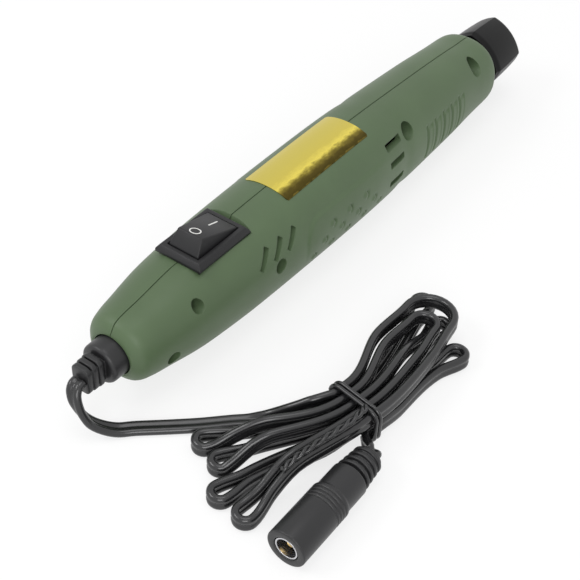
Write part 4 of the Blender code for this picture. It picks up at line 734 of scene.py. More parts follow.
def loft(rings, closed=False):
    """Join rings of equal count; the ends are capped, or joined to each other."""
    bm = bmesh.new()
    made = [[bm.verts.new(point) for point in ring] for ring in rings]
    for first, second in zip(made, made[1:]):
        skin(bm, first, second)
    if closed:
        skin(bm, made[-1], made[0])
    else:
        bm.faces.new(made[0])
        bm.faces.new(made[-1])
    return bm


def ring_points(radius, sides, turn=0.0):
    angles = [turn + tau * i / sides for i in range(sides)]
    return [(radius * cos(angle), radius * sin(angle)) for angle in angles]


def turned_mesh(outline, sides=ROUND_SIDES):
    """Turn an outline of (along X, radius) points round the X axis."""
    bm = bmesh.new()
    rows = []
    for along, radius in outline:
        ring = ring_points(radius, sides) if radius else [(0, 0)]
        rows.append([bm.verts.new((along, y, z)) for y, z in ring])
    closed = len(rows[0]) > 1 and len(rows[-1]) > 1
    for first, second in zip(rows, rows[1:] + rows[:1] * closed):
        if len(first) == len(second):
            skin(bm, first, second)
            continue
        tip, ring = (first[0], second) if len(first) == 1 else (second[0], first)
        for i in range(sides):
            bm.faces.new((tip, ring[i], ring[(i + 1) % sides]))
    return bm


def rounded_outline(points, radius, steps=ROUND_STEPS):
    """Round the corners of an outline of (along, radius) points, but not its ends."""
    made = [points[0]]
    for before, corner, after in zip(points, points[1:], points[2:]):
        corner = Vector(corner)
        back = Vector(before) - corner
        ahead = Vector(after) - corner
        reach = min(radius, back.length * CORNER_REACH_SHARE, ahead.length * CORNER_REACH_SHARE)
        start = corner + back.normalized() * reach
        end = corner + ahead.normalized() * reach
        for k in range(steps + 1):
            t = k / steps
            made.append(tuple(start * (1 - t) ** 2 + corner * 2 * t * (1 - t) + end * t**2))
    return made + [points[-1]]


def bump(start, end, base, top, slope=0):
    """The part of an outline that steps from its base to its top and back."""
    return [(start, base), (start + slope, top), (end - slope, top), (end, base)]


def round_rectangle(half_length, half_height, radius):
    """The points of a rectangle with round corners."""
    points = []
    for quarter, (a, b) in enumerate(((1, 1), (-1, 1), (-1, -1), (1, -1))):
        for k in range(CORNER_STEPS + 1):
            turn = (quarter + k / CORNER_STEPS) * pi / 2
            x = a * (half_length - radius) + radius * cos(turn)
            points.append((x, b * (half_height - radius) + radius * sin(turn)))
    return points


def corner_inset(end, radius):
    """How far a round corner pulls an edge in, at a distance from its end."""
    share = max(1 - end / radius, 0)
    return radius * (1 - sqrt(max(1 - share**2, 0)))


def prism(outline, start, end):
    """An outline of (X, Z) points, carried along Y."""
    return loft([[(x, y, z) for x, z in outline] for y in (start, end)])


def block_mesh(length, width, height, centre=(0, 0, 0)):
    bm = bmesh.new()
    bmesh.ops.create_cube(bm, size=1)
    bmesh.ops.scale(bm, vec=(length, width, height), verts=bm.verts)
    bmesh.ops.translate(bm, vec=centre, verts=bm.verts)
    return bm


def helper(bm, place=(0, 0, 0)):
    """A cutter: it takes part in Booleans and is removed at the end."""
    made = mesh_object("cutter", bm, None, place, sharp=0)
    HELPERS.append(made)
    return made


def cylinder(radius, start, end, place):
    return helper(prism(ring_points(radius, HOLE_SIDES, pi / HOLE_SIDES), start, end), place)


def combine(target, other, operation):
    """Apply one Boolean to target at once."""
    step = target.modifiers.new("combine", "BOOLEAN")
    step.operation = operation
    step.object = other
    step.solver = "EXACT"
    apply_modifiers(target)


def apply_modifiers(target):
    graph = bpy.context.evaluated_depsgraph_get()
    data = bpy.data.meshes.new_from_object(target.evaluated_get(graph))
    target.modifiers.clear()
    target.data = data


def rounded(target, width):
    """Round every edge that is clearly an edge."""
    step = target.modifiers.new("round", "BEVEL")
    step.width = width
    step.segments = EDGE_SEGMENTS
    step.limit_method = "ANGLE"
    step.angle_limit = EDGE_ANGLE
    apply_modifiers(target)
    smooth(target, ROUNDED_SHARP)


def join(name, parts):
    """Join parts with the same look into one object."""
    bm = bmesh.new()
    for part in parts:
        part.data.transform(part.matrix_world)
        bm.from_mesh(part.data)
    made = add_object(name, mesh_data(name, bm))
    for stuff in parts[0].data.materials:
        made.data.materials.append(stuff)
    for part in parts:
        bpy.data.objects.remove(part)
    return made


def soft_step(value):
    """0 below 0, 1 above 1, and smooth between."""
    t = min(max(value, 0.0), 1.0)
    return t * t * (3 - 2 * t)


def cubic(start, end, pull_out, pull_in, t):
    """A place on the curve from start to end that leaves and arrives by the given pulls."""
    bend = pull_out * (t**3 - 2 * t**2 + t) + pull_in * (t**3 - t**2)
    return start * (2 * t**3 - 3 * t**2 + 1) + end * (3 * t**2 - 2 * t**3) + bend


# Casing surface, as in the solid model
def smooth_value(table, column, share):
    """Read a table of shares with a smooth curve through its rows."""
    last = len(table) - 1
    low = 0
    while low < last - 1 and table[low + 1][0] < share:
        low += 1
    span = table[low + 1][0] - table[low][0]

    def slope(i):
        before = table[max(i - 1, 0)]
        after = table[min(i + 1, last)]
        return (after[column] - before[column]) / (after[0] - before[0]) * span

    t = (share - table[low][0]) / span
    return cubic(table[low][column], table[low + 1][column], slope(low), slope(low + 1), t)


def half_sizes(station):
    """Half width, half height above and half height below the axis."""
    share = min(max(station / BODY_LENGTH, 0.0), 1.0)
    wide = smooth_value(OUTLINE_SHARES, 1, share)
    tall = smooth_value(OUTLINE_SHARES, 2, share)
    return wide * BODY_HALF_WIDTH, tall * BODY_HALF_TOP, tall * BODY_HALF_UNDER


def section_point(sizes, angle, inset=0.0):
    """Angle 0 is up, a quarter turn is +Y. The underside is cut flat at the table."""
    half_width, half_top, half_under = sizes
    up = cos(angle)
    side = sin(angle)
    power = 2 / SECTION_POWER
    half_height = half_top if up > 0 else half_under
    y = copysign(abs(side) ** power, side) * (half_width - inset)
    z = copysign(abs(up) ** power, up) * (half_height - inset)
    return y, max(z, inset - AXIS_HEIGHT)


def surface_height(station, y):
    """Height of the casing's top above the axis."""
    half_width, half_top, _ = half_sizes(station)
    share = min(abs(y) / half_width, 1.0)
    return half_top * (1 - share**SECTION_POWER) ** (1 / SECTION_POWER)


def inside_band(value, low, high, edge):
    """1 between low and high, 0 outside, with soft edges."""
    return soft_step((value - low) / edge + 1 / 2) * soft_step((high - value) / edge + 1 / 2)


def nearest_place(value, first, pitch, count):
    """The nearest of a row of evenly spaced places."""
    return first + pitch * min(max(round((value - first) / pitch), 0), count - 1)


def panel_depth(station, z):
    """Distance from the outline of the raised panel, which has round corners, to a place in it."""
    half_length = (PANEL_FRONT - PANEL_REAR) / 2 - PANEL_CORNER
    half_height = (PANEL_TOP - PANEL_UNDER) / 2 - PANEL_CORNER
    along = abs(station - (PANEL_FRONT + PANEL_REAR) / 2) - half_length
    up = abs(z - (PANEL_TOP + PANEL_UNDER) / 2) - half_height
    return PANEL_CORNER - hypot(max(along, 0), max(up, 0)) - min(max(along, up), 0)


def relief(station, z):
    """How far the side's detail stands out of the plain surface, or into it."""
    lift = 0.0
    if PANEL_REAR - PANEL_EDGE < station < PANEL_FRONT + PANEL_EDGE:
        panel = soft_step(panel_depth(station, z) / PANEL_EDGE + 1 / 2)
        panel *= soft_step((PANEL_FRONT - station) / PANEL_FRONT_FADE)
        panel *= soft_step((z - PANEL_UNDER) / PANEL_UNDER_FADE)
        lift += PANEL_HEIGHT * panel * soft_step((station - PANEL_REAR) / PANEL_REAR_FADE + 1 / 2)
        for first, height, count in NUB_ROWS:
            middle = nearest_place(station, first, NUB_PITCH, count)
            away = hypot(station - middle, z - height)
            lift += NUB_HEIGHT * soft_step((1 - away / NUB_RADIUS) * NUB_STEEPNESS)
            moat = soft_step(1 - abs(away - NUB_RADIUS) / MOAT_HALF)
            lift -= MOAT_DEPTH * moat * soft_step((station - middle) / NUB_RADIUS)
    return lift - groove_depth(station, z)


def groove_depth(station, z):
    """Depth of the grip's shallow cells, each with a fine line cut inside its rear and top edges."""
    rear = nearest_place(station, GROOVE_STATION, GROOVE_PITCH, GROOVE_COUNT) - GROOVE_WIDTH / 2
    inside = inside_band(station, rear, rear + GROOVE_WIDTH, GROOVE_EDGE)
    if not inside:
        return 0.0
    inside *= inside_band(z, -GROOVE_UNDER, GROOVE_TOP, GROOVE_END_EDGE)
    line = soft_step(1 - abs(station - rear - GROOVE_LINE_PLACE) / GROOVE_LINE_HALF)
    top = soft_step(1 - abs(GROOVE_TOP - z - GROOVE_LINE_PLACE) / GROOVE_LINE_HALF)
    return inside * (GROOVE_DEPTH + GROOVE_LINE_DEPTH * max(line, top * GROOVE_TOP_LINE_SHARE))


def row_stations():
    """Stations of the casing's rings."""
    stations = []
    for start, end, spacing in ROW_ZONES:
        count = round((end - start) / spacing)
        stations += [start + (end - start) * i / count for i in range(count)]
    return stations + [BODY_LENGTH]


def half_casing_mesh(side):
    """One solid half of the casing with its grip detail; side is -1 for the right shell."""
    rings = []
    for station in row_stations():
        sizes = half_sizes(station)
        ring = []
        for i in range(OUTER_SIDES + 1):
            y, z = section_point(sizes, pi * i / OUTER_SIDES)
            lift = relief(station, z)
            if lift:
                out = Vector((y / sizes[0] ** 2, z / sizes[1] ** 2)).normalized()
                y += out.x * lift
                z = max(z + out.y * lift, -AXIS_HEIGHT)
            ring.append((REAR_X + station, side * max(y, SEAM_GAP / 2), AXIS_HEIGHT + z))
        top, bottom = ring[0], ring[-1]
        edge = side * (SEAM_GAP / 2 + SEAM_CHAMFER)
        ring = [
            (top[0], top[1], top[2] - SEAM_CHAMFER),
            (top[0], edge, top[2]),
            *ring[1:-1],
            (bottom[0], edge, bottom[2]),
            (bottom[0], bottom[1], bottom[2] + SEAM_CHAMFER),
        ]
        rings.append(ring)
    return loft(rings)


def cavity_mesh():
    rings = []
    length = BODY_LENGTH + OVERRUN - REAR_WALL
    for i in range(INNER_STATIONS + 1):
        station = REAR_WALL + length * i / INNER_STATIONS
        sizes = half_sizes(min(station, BODY_LENGTH))
        ring = []
        for k in range(2 * INNER_SIDES):
            y, z = section_point(sizes, pi * (k + 1 / 2) / INNER_SIDES, WALL)
            ring.append((REAR_X + station, y, AXIS_HEIGHT + z))
        rings.append(ring)
    return loft(rings)


def screw_places():
    return [on_tool(BODY_LENGTH * along, 0, BODY_HALF_TOP * up) for along, up in SCREW_PLACE_SHARES]


def support_rings():
    """Start, thickness and inner radius of each ring inside, from the solids it carries."""
    rim = min(half_sizes(BODY_LENGTH)) - WALL
    rings = [(BODY_LENGTH - CAP_SPIGOT_LENGTH - SEAT_GAP, 2 * OVERRUN, rim)]
    for name in ("rear_bearing_outer_race", "front_bearing_outer_race"):
        low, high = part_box(name)
        inset = (high.x - low.x) * WEB_INSET_SHARE
        rings.append((low.x - REAR_X + inset, high.x - low.x - 2 * inset, (high.y - low.y) / 2 + SEAT_GAP))
    low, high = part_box("motor_can")
    for start in (low.x + CRADLE_INSET, high.x - CRADLE_INSET - CRADLE_THICKNESS):
        rings.append((start - REAR_X, CRADLE_THICKNESS, (high.y - low.y) / 2 + SEAT_GAP))
    return rings


def hollow():
    """Everything that both shells lose: the cavity, the switch's flat and all openings."""
    cavity = helper(cavity_mesh())
    for place, radius in zip(screw_places(), COUNTERBORE_RADII):
        combine(cavity, cylinder(radius + BOSS_WALL, -CUT_REACH, CUT_REACH, place), "DIFFERENCE")
    for start, length, inner in support_rings():
        ring = turned_mesh(bump(0, length, inner, CUT_REACH), SUPPORT_SIDES)
        combine(cavity, helper(ring, on_tool(start)), "DIFFERENCE")
    seat = block_mesh(SWITCH_SEAT_LENGTH, 2 * CUT_REACH, 2 * CUT_REACH, (0, 0, CUT_REACH - WALL))
    combine(cavity, helper(seat, on_tool(SWITCH_STATION, 0, SWITCH_FLAT_HEIGHT)), "DIFFERENCE")
    for cutter in switch_cutters() + slot_cutters() + screw_cutters():
        combine(cavity, cutter, "UNION")
    return cavity


def switch_cutters():
    """Cutters for the switch's flat and well, and for the strain relief's neck."""
    top = BODY_HALF_TOP + OVERRUN
    slope = SWITCH_RAMP * (top - SWITCH_FLAT_HEIGHT) / (BODY_HALF_TOP - SWITCH_FLAT_HEIGHT)
    flat = [
        (-SWITCH_FLAT_BEHIND, SWITCH_FLAT_HEIGHT),
        (SWITCH_FLAT_AHEAD, SWITCH_FLAT_HEIGHT),
        (SWITCH_FLAT_AHEAD + slope, top),
        (-SWITCH_FLAT_BEHIND, top),
    ]
    well = (SWITCH_BODY_LENGTH + 2 * SEAT_GAP, SWITCH_BODY_WIDTH + 2 * SEAT_GAP, 2 * SWITCH_BODY_DEPTH)
    neck = bump(-OVERRUN, OVERRUN, 0, RELIEF_RADIUS + SEAT_GAP)
    return [
        helper(prism(flat, -CUT_REACH, CUT_REACH), on_tool(SWITCH_STATION)),
        helper(block_mesh(*well), on_tool(SWITCH_STATION, 0, SWITCH_FLAT_HEIGHT)),
        helper(turned_mesh(neck), on_tool(0)),
    ]


def slot_cutters():
    """Cutters for the air slots of both sides."""
    cutters = []
    depth = CUT_REACH - SLOT_FLOOR
    for side in (-1, 1):
        y = side * (SLOT_FLOOR + depth / 2)
        for i in range(REAR_SLOT_COUNT):
            place = on_tool(REAR_SLOT_STATION + i * REAR_SLOT_PITCH, y, REAR_SLOT_HEIGHT)
            slot = helper(slot_mesh(REAR_SLOT_LENGTH, REAR_SLOT_WIDTH, depth), place)
            slot.rotation_euler = (0, REAR_SLOT_LEAN - pi / 2, 0)
            cutters.append(slot)
        for share in FRONT_SLOT_HEIGHT_SHARES:
            place = on_tool(FRONT_SLOT_STATION, y, share * BODY_HALF_TOP)
            cutters.append(helper(slot_mesh(FRONT_SLOT_LENGTH, FRONT_SLOT_WIDTH, depth), place))
    return cutters


def screw_cutters():
    """Cutters for the screws' wells in the right shell and for their shanks."""
    cutters = []
    shank = SCREW_SHANK_RADIUS + SEAT_GAP
    for place, radius in zip(screw_places(), COUNTERBORE_RADII):
        cutters.append(cylinder(radius, -CUT_REACH, -COUNTERBORE_FLOOR, place))
        cutters.append(cylinder(shank, -COUNTERBORE_FLOOR - WALL, COUNTERBORE_FLOOR, place))
    return cutters


def slot_mesh(length, width, depth):
    """A slot along X with rounded ends, cut along Y."""
    outline = round_rectangle(length / 2, width / 2, width * SLOT_CORNER_SHARE)
    return prism(outline, -depth / 2, depth / 2)


def make_shells():
    hole = hollow()
    for name, side in (("shell_right", -1), ("shell_left", 1)):
        shell = mesh_object(f"casing_{name}", half_casing_mesh(side), "green")
        combine(shell, hole, "DIFFERENCE")
        smooth(shell, SHELL_SHARP)
        piece(shell, "casing", "green_plastic", name)


def make_screws():
    """Pan-head screws with a cross recess, deep in their counterbores."""
    for i, place in enumerate(screw_places()):
        low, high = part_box(f"housing_screw_{i + 1}")
        head = (high.x - low.x) / 2
        length = high.y - low.y
        outline = [
            (0, 0),
            (0, head * SCREW_CROWN_SHARE),
            (SCREW_DOME, head),
            (SCREW_HEAD_LENGTH, head),
            (SCREW_HEAD_LENGTH, SCREW_SHANK_RADIUS),
            (length, SCREW_SHANK_RADIUS * SCREW_POINT_SHARE),
            (length, 0),
        ]
        place.y = low.y
        mesh = turned_mesh(rounded_outline(outline, SCREW_ROUND), HOLE_SIDES)
        screw = mesh_object(f"screw_{i + 1}", mesh, "zinc", place)
        screw.rotation_euler = (0, 0, pi / 2)
        for turn in (SCREW_CROSS_TURN, SCREW_CROSS_TURN + pi / 2):
            cutter = helper(block_mesh(CROSS_LENGTH, 2 * CROSS_DEPTH, CROSS_WIDTH), place)
            cutter.rotation_euler = (0, turn + i, 0)
            combine(screw, cutter, "DIFFERENCE")
        smooth(screw, SHARP)
        piece(screw, "casing", "zinc_steel", f"housing_screw_{i + 1}")


def make_foil():
    """Blank foil plate, wrapped over the top of both shells."""
    rings = []
    for i in range(PLATE_ROWS + 1):
        along = i / PLATE_ROWS
        station = PLATE_STATION + PLATE_LENGTH * along
        half = PLATE_HALF_WIDTH - corner_inset(min(along, 1 - along) * PLATE_LENGTH, PLATE_CORNER)
        across = [half * (2 * k / PLATE_COLUMNS - 1) for k in range(PLATE_COLUMNS + 1)]
        under = [on_tool(station, y, surface_height(station, y) + PLATE_LIFT) for y in across]
        over = [point + Vector((0, 0, PLATE_THICKNESS)) for point in reversed(under)]
        rings.append(under + over)
    plate = mesh_object("foil_plate", loft(rings), "foil")
    piece(plate, "casing", "gold_foil", "rating_plate")


# Nose cap
def cap_ring(station, radius, face=1.0):
    """A ring of the cap. A face share below 1 gives four bulged faces with edges on the axes."""
    corner = radius * sqrt(1 / 2)
    bulge = radius * face - corner
    bend = (corner**2 + bulge**2) / (2 * bulge)
    back = bend - radius * face
    ring = []
    for i in range(CAP_SIDES):
        angle = tau * i / CAP_SIDES
        off = angle % (pi / 2) - pi / 4
        reach = sqrt(bend**2 - (back * sin(off)) ** 2) - back * cos(off)
        ring.append((station, reach * cos(angle), reach * sin(angle)))
    return ring


def cap_rings():
    """The cap's rings from the spigot's rear edge, round the outside and back through the bore."""
    spigot = min(half_sizes(BODY_LENGTH)) - WALL - CAP_FIT
    bore = spigot - CAP_WALL
    start = CAP_FIT + CAP_BASE_LENGTH
    body = CAP_REACH - start
    floor = CAP_REACH - CAP_FRONT_WALL
    rows = [
        (-CAP_SPIGOT_LENGTH, spigot),
        (CAP_FIT, spigot),
        (CAP_FIT, CAP_BASE_RADIUS),
        (start, CAP_BASE_RADIUS),
    ]
    for i in range(CAP_ROWS + 1):
        share = i / CAP_ROWS
        radius = CAP_MIDDLE_RADIUS + (CAP_FRONT_RADIUS - CAP_MIDDLE_RADIUS) * share**2
        radius -= CAP_REAR_ROUND * (1 - soft_step(share * CAP_ROUND_SPEED))
        radius -= corner_inset(body * (1 - share), CAP_RIM)
        rows.append((start + body * share, radius, CAP_FACE_SHARE))
    rows += [
        (CAP_REACH, CAP_OPENING_RADIUS + CAP_LIP),
        (CAP_REACH - CAP_LIP, CAP_OPENING_RADIUS),
        (floor, CAP_OPENING_RADIUS),
        (floor, bore),
        (-CAP_SPIGOT_LENGTH, bore),
    ]
    return [cap_ring(*row) for row in rows]


def make_nose_cap():
    """Faceted cap with a round collar behind and an open front."""
    mesh = loft(cap_rings(), closed=True)
    cap = mesh_object("front_cap", mesh, "cap", on_tool(BODY_LENGTH), CAP_SHARP)
    cap.rotation_euler = (CAP_TURN, 0, 0)
    piece(cap, "nose_cap", "black_plastic", "nose_cap")


# Switch
def rectangle(half_length, half_width, z):
    corners = ((-1, -1), (1, -1), (1, 1), (-1, 1))
    return [(a * half_length, b * half_width, z) for a, b in corners]


def make_switch():
    """Bezel with sloped faces round the rocker's well, and the switch's body below."""
    bezel = (BEZEL_LENGTH / 2, BEZEL_WIDTH / 2)
    floor = SWITCH_FLAT_HEIGHT - SWITCH_BODY_DEPTH
    well = (ROCKER_LENGTH / 2 + ROCKER_GAP, ROCKER_WIDTH / 2 + ROCKER_GAP)
    body = (SWITCH_BODY_LENGTH / 2, SWITCH_BODY_WIDTH / 2)
    rings = [
        rectangle(*well, floor + SWITCH_BODY_WALL),
        rectangle(*well, BEZEL_TOP),
        rectangle(bezel[0] - BEZEL_SLOPE, bezel[1] - BEZEL_SLOPE, BEZEL_TOP),
        rectangle(*bezel, BEZEL_BASE + BEZEL_EDGE),
        rectangle(*bezel, BEZEL_BASE),
        rectangle(*body, BEZEL_BASE),
        rectangle(*body, floor),
    ]
    mesh = loft(rings)
    housing = mesh_object("switch_bezel", mesh, "black", on_tool(SWITCH_STATION), sharp=0)
    rounded(housing, BEZEL_ROUND)
    piece(housing, "casing", "black_plastic", "switch_housing")


def rocker_profile():
    """Side view of the rocker from its pivot: along, up, and how far its side leans in."""
    half = ROCKER_LENGTH / 2
    top = ROCKER_PIVOT_DROP
    belly = [(half * along, -half * down, 0) for along, down in ROCKER_BELLY_SHARES]
    return [(-x, z, slope) for x, z, slope in reversed(belly)] + [
        (-half, top, 0),
        (-half + ROCKER_END_SLOPE, top + ROCKER_RAISE, ROCKER_SIDE_SLOPE),
        (half - ROCKER_FLUSH, top + ROCKER_FLUSH, 0),
        (half, top, 0),
    ] + belly


def rocker_face(along):
    """A place just over the rocker's long face, and the ways along the face and out of it."""
    half = ROCKER_LENGTH / 2
    rear = Vector((-half + ROCKER_END_SLOPE, 0, ROCKER_PIVOT_DROP + ROCKER_RAISE))
    front = Vector((half - ROCKER_FLUSH, 0, ROCKER_PIVOT_DROP + ROCKER_FLUSH))
    slant = (front - rear).normalized()
    normal = Vector((-slant.z, 0, slant.x))
    share = (along - rear.x) / (front.x - rear.x)
    return rear.lerp(front, share) + normal * MARK_LIFT, slant, normal


def make_rocker():
    """Rear end up, front end pressed flush, with its two marks."""
    pivot = on_tool(SWITCH_STATION, 0, BEZEL_TOP - ROCKER_PIVOT_DROP)
    rings = []
    for side in (-1, 1):
        rings.append([(x, side * (ROCKER_WIDTH / 2 - lean), z) for x, z, lean in rocker_profile()])
    rocker = mesh_object("rocker", loft(rings), "black", pivot, sharp=0)
    rounded(rocker, ROCKER_ROUND)
    piece(rocker, "rocker", "black_plastic", "switch_rocker")
    for name, mesh in (("mark_off", ring_mark()), ("mark_on", bar_mark())):
        piece(mesh_object(name, mesh, "mark", pivot, sharp=0), "rocker", "black_plastic")


def stroke(centre, across, normal, width):
    """One section of a mark's line."""
    side = across * width / 2
    up = normal * MARK_THICKNESS / 2
    return [centre - side - up, centre + side - up, centre + side + up, centre - side + up]


def ring_mark():
    centre, slant, normal = rocker_face(MARK_OFF_ALONG)
    rings = []
    for x, y in ring_points(1, 2 * HOLE_SIDES):
        out = slant * x + ACROSS_TOOL * y
        rings.append(stroke(centre + out * MARK_RADIUS, out, normal, MARK_LINE))
    return loft(rings, closed=True)


def bar_mark():
    rings = []
    for along in MARK_ON_ENDS:
        centre, _, normal = rocker_face(along)
        rings.append(stroke(centre, ACROSS_TOOL, normal, MARK_LINE * MARK_BAR_SHARE))
    return loft(rings)


# Strain relief
def make_relief():
    """Round boss with a flange inside the casing and flat ribs behind it."""
    inner = REAR_WALL + SEAT_GAP
    tail = RELIEF_REACH - RELIEF_BOSS_LENGTH
    outline = [
        (-RELIEF_BOSS_LENGTH, 0),
        (-RELIEF_BOSS_LENGTH, RELIEF_RADIUS),
        (inner, RELIEF_RADIUS),
        (inner, RELIEF_FLANGE_RADIUS),
        (inner + RELIEF_FLANGE_LENGTH, RELIEF_FLANGE_RADIUS),
        (inner + RELIEF_FLANGE_LENGTH, 0),
    ]
    outline = rounded_outline(outline, RELIEF_ROUND, RELIEF_ROUND_STEPS)
    boss = mesh_object("boss", turned_mesh(outline), "rubber")
    end = RELIEF_RIB_THICKNESS / 2 - RELIEF_REACH
    core = block_mesh(tail, RELIEF_CORE_WIDTH, RELIEF_CORE_HEIGHT)
    parts = [boss, mesh_object("core", core, "rubber", (end + tail / 2, 0, 0), sharp=0)]
    pitch = (tail - RELIEF_RIB_THICKNESS) / (RELIEF_RIB_COUNT - 1 / 2)
    for i in range(RELIEF_RIB_COUNT):
        shrink = (RELIEF_RIB_COUNT - 1 - i) * RELIEF_RIB_SHRINK
        rib = slot_mesh(RELIEF_RIB_WIDTH - shrink, RELIEF_RIB_HEIGHT - shrink, RELIEF_RIB_THICKNESS)
        made = mesh_object("rib", rib, "rubber", (end + i * pitch, 0, 0), sharp=0)
        made.rotation_euler = (0, 0, pi / 2)
        parts.append(made)
    bpy.context.view_layer.update()
    for part in parts[1:]:
        rounded(part, RELIEF_EDGE)
    grommet = join("cord_grommet", parts)
    grommet.location = on_tool(0)
    grommet.data.set_sharp_from_angle(angle=radians(RELIEF_SHARP))
    piece(grommet, "casing", "black_plastic", "strain_relief")


# Flat twin lead
def lead_section():
    """Two round cores side by side, with a groove between them, as (wide, thick) points."""
    core = CORD_THICKNESS / 2
    middle = (CORD_WIDTH - CORD_THICKNESS) / 2
    half = []
    for k in range(CORE_STEPS + 1):
        turn = -CORE_GROOVE + 2 * CORE_GROOVE * k / CORE_STEPS
        half.append((middle + core * cos(turn), core * sin(turn)))
    groove = half[-1][1] * GROOVE_SHARE
    return half + [(0, groove)] + [(-w, -t) for w, t in half] + [(0, -groove)]


def sweep_mesh(points, wides, section):
    """Sweep a section along points; wides says which way its wide side points."""
    rings = []
    for i, point in enumerate(points):
        before = points[max(i - 1, 0)]
        after = points[min(i + 1, len(points) - 1)]
        along = (after - before).normalized()
        wide = (wides[i] - along * wides[i].dot(along)).normalized()
        thick = along.cross(wide)
        rings.append([point + wide * w + thick * t for w, t in section])
    return loft(rings)


def smooth_route(rows, steps):
    """A smooth curve through rows of numbers, with the same count of steps in each gap."""
    made = []
    last = len(rows) - 1
    for i in range(last):
        near = [rows[min(max(k, 0), last)] for k in range(i - 1, i + 3)]
        for k in range(steps):
            made.append([
                cubic(b, c, (c - a) / 2, (d - b) / 2, k / steps) for a, b, c, d in zip(*near)
            ])
    return made + [list(rows[-1])]


def hank_place(along, across, height):
    """Place of a point given along and across the waist of the hank, from the exit."""
    x = along * cos(HANK_TURN) - across * sin(HANK_TURN)
    y = along * sin(HANK_TURN) + across * cos(HANK_TURN)
    return Vector((HANK_CENTRE[0] + x, HANK_CENTRE[1] + y, height))


def waist_point(side, column, layer):
    across = WAIST_PITCH * ((WAIST_COLUMNS - 1) / 2 - column)
    return hank_place(side * WAIST_HALF, across, WAIST_LOW + layer * WAIST_LAYER)


def settle(point, layer, drop, low):
    """Let a strand down from its layer at the waist to where its loop lies."""
    top = WAIST_LOW + layer * WAIST_LAYER
    away = (point.xy - Vector(HANK_CENTRE)).length - WAIST_REACH
    first, last = drop if layer else (0, LAYER_DROP)
    height = top + (low - top) * soft_step((away - first) / (last - first))
    return Vector((point.x, point.y, height))


def strand(start, pull_out, end, pull_in, steps):
    """Points on one cubic curve, without its end."""
    return [cubic(start, end, pull_out, pull_in, k / steps) for k in range(steps)]


def loop_side(side, place, fold, along, across, radius, throat, drop, low):
    """One strand of a loop: out from its place at the waist and through the loop's throat."""
    outward = hank_place(side, 0, 0) - hank_place(0, 0, 0)
    length, half = throat
    start = waist_point(side, *place)
    neck = fold - along * length + across * half
    near = fold + across * radius
    pull = (neck - start).length
    points = strand(start, outward * pull, neck, along * pull, STRAND_STEPS)
    points += strand(neck, along * length, near, along * length, THROAT_STEPS)
    return [settle(point, place[1], drop, low) for point in points]


def finger_points(side, first, last, angle, reach, radius, throat, drop, low):
    """One loop of the hank: out from the waist, round a fold and back."""
    heading = radians(angle)
    along = Vector((cos(heading), sin(heading), 0))
    across = Vector((-along.y, along.x, 0))
    if (waist_point(side, *first) - waist_point(side, *last)).dot(across) < 0:
        across = -across
    middle = hank_place(0, 0, low) + along * (reach - radius)
    points = loop_side(side, first, middle, along, across, radius, throat, drop, low)
    for k in range(FOLD_STEPS + 1):
        turn = pi * k / FOLD_STEPS
        points.append(middle + (across * cos(turn) + along * sin(turn)) * radius)
    back = loop_side(side, last, middle, along, -across, radius, throat, drop, low)
    return points + back[::-1]


def wide_side(heading, lift):
    turn = radians(heading)
    rise = radians(lift)
    return Vector((cos(turn) * cos(rise), sin(turn) * cos(rise), sin(rise)))


def lead_route():
    """The whole lead as one path from its exit, with the way that its wide side points."""
    opening = smooth_route(CORD_RUN + HANK_ENTRY, RUN_STEPS)
    leaving = smooth_route(HANK_EXIT, RUN_STEPS)
    loops = [waist_point(-1, *FINGERS[0][1])]
    for row in FINGERS:
        loops += finger_points(*row)
    loops.append(waist_point(-FINGERS[-1][0], *FINGERS[-1][2]))
    points = [Vector(row[:3]) for row in opening] + loops + [Vector(row[:3]) for row in leaving]
    wides = [wide_side(*row[3:]) for row in opening]
    wides += [UPWARDS] * len(loops)
    wides += [wide_side(*row[3:]) for row in leaving]
    shift = Vector((LEAD_EXIT, 0, 0))
    return [point + shift for point in points], wides


def make_lead():
    points, wides = lead_route()
    lead = mesh_object("flat_lead", sweep_mesh(points, wides, lead_section()), "vinyl", sharp=LEAD_SHARP)
    piece(lead, "casing", "black_vinyl", "cord_run", "cord_hank")
    return lead, points


# Tie round the hank
def wire(name, points, radius):
    """A round wire through points, in the lead's frame."""
    wides = [UPWARDS] * len(points)
    for i in range(1, len(points) - 1):
        along = (points[i + 1] - points[i - 1]).normalized()
        side = wides[i - 1] - along * wides[i - 1].dot(along)
        wides[i] = side.normalized() if side.length > LEAST_SIDE else wides[i - 1]
    wides[-1] = wides[-2]
    mesh = sweep_mesh(points, wides, ring_points(radius, TUBE_SIDES))
    return mesh_object(name, mesh, "vinyl", (LEAD_EXIT, 0, 0), LEAD_SHARP)


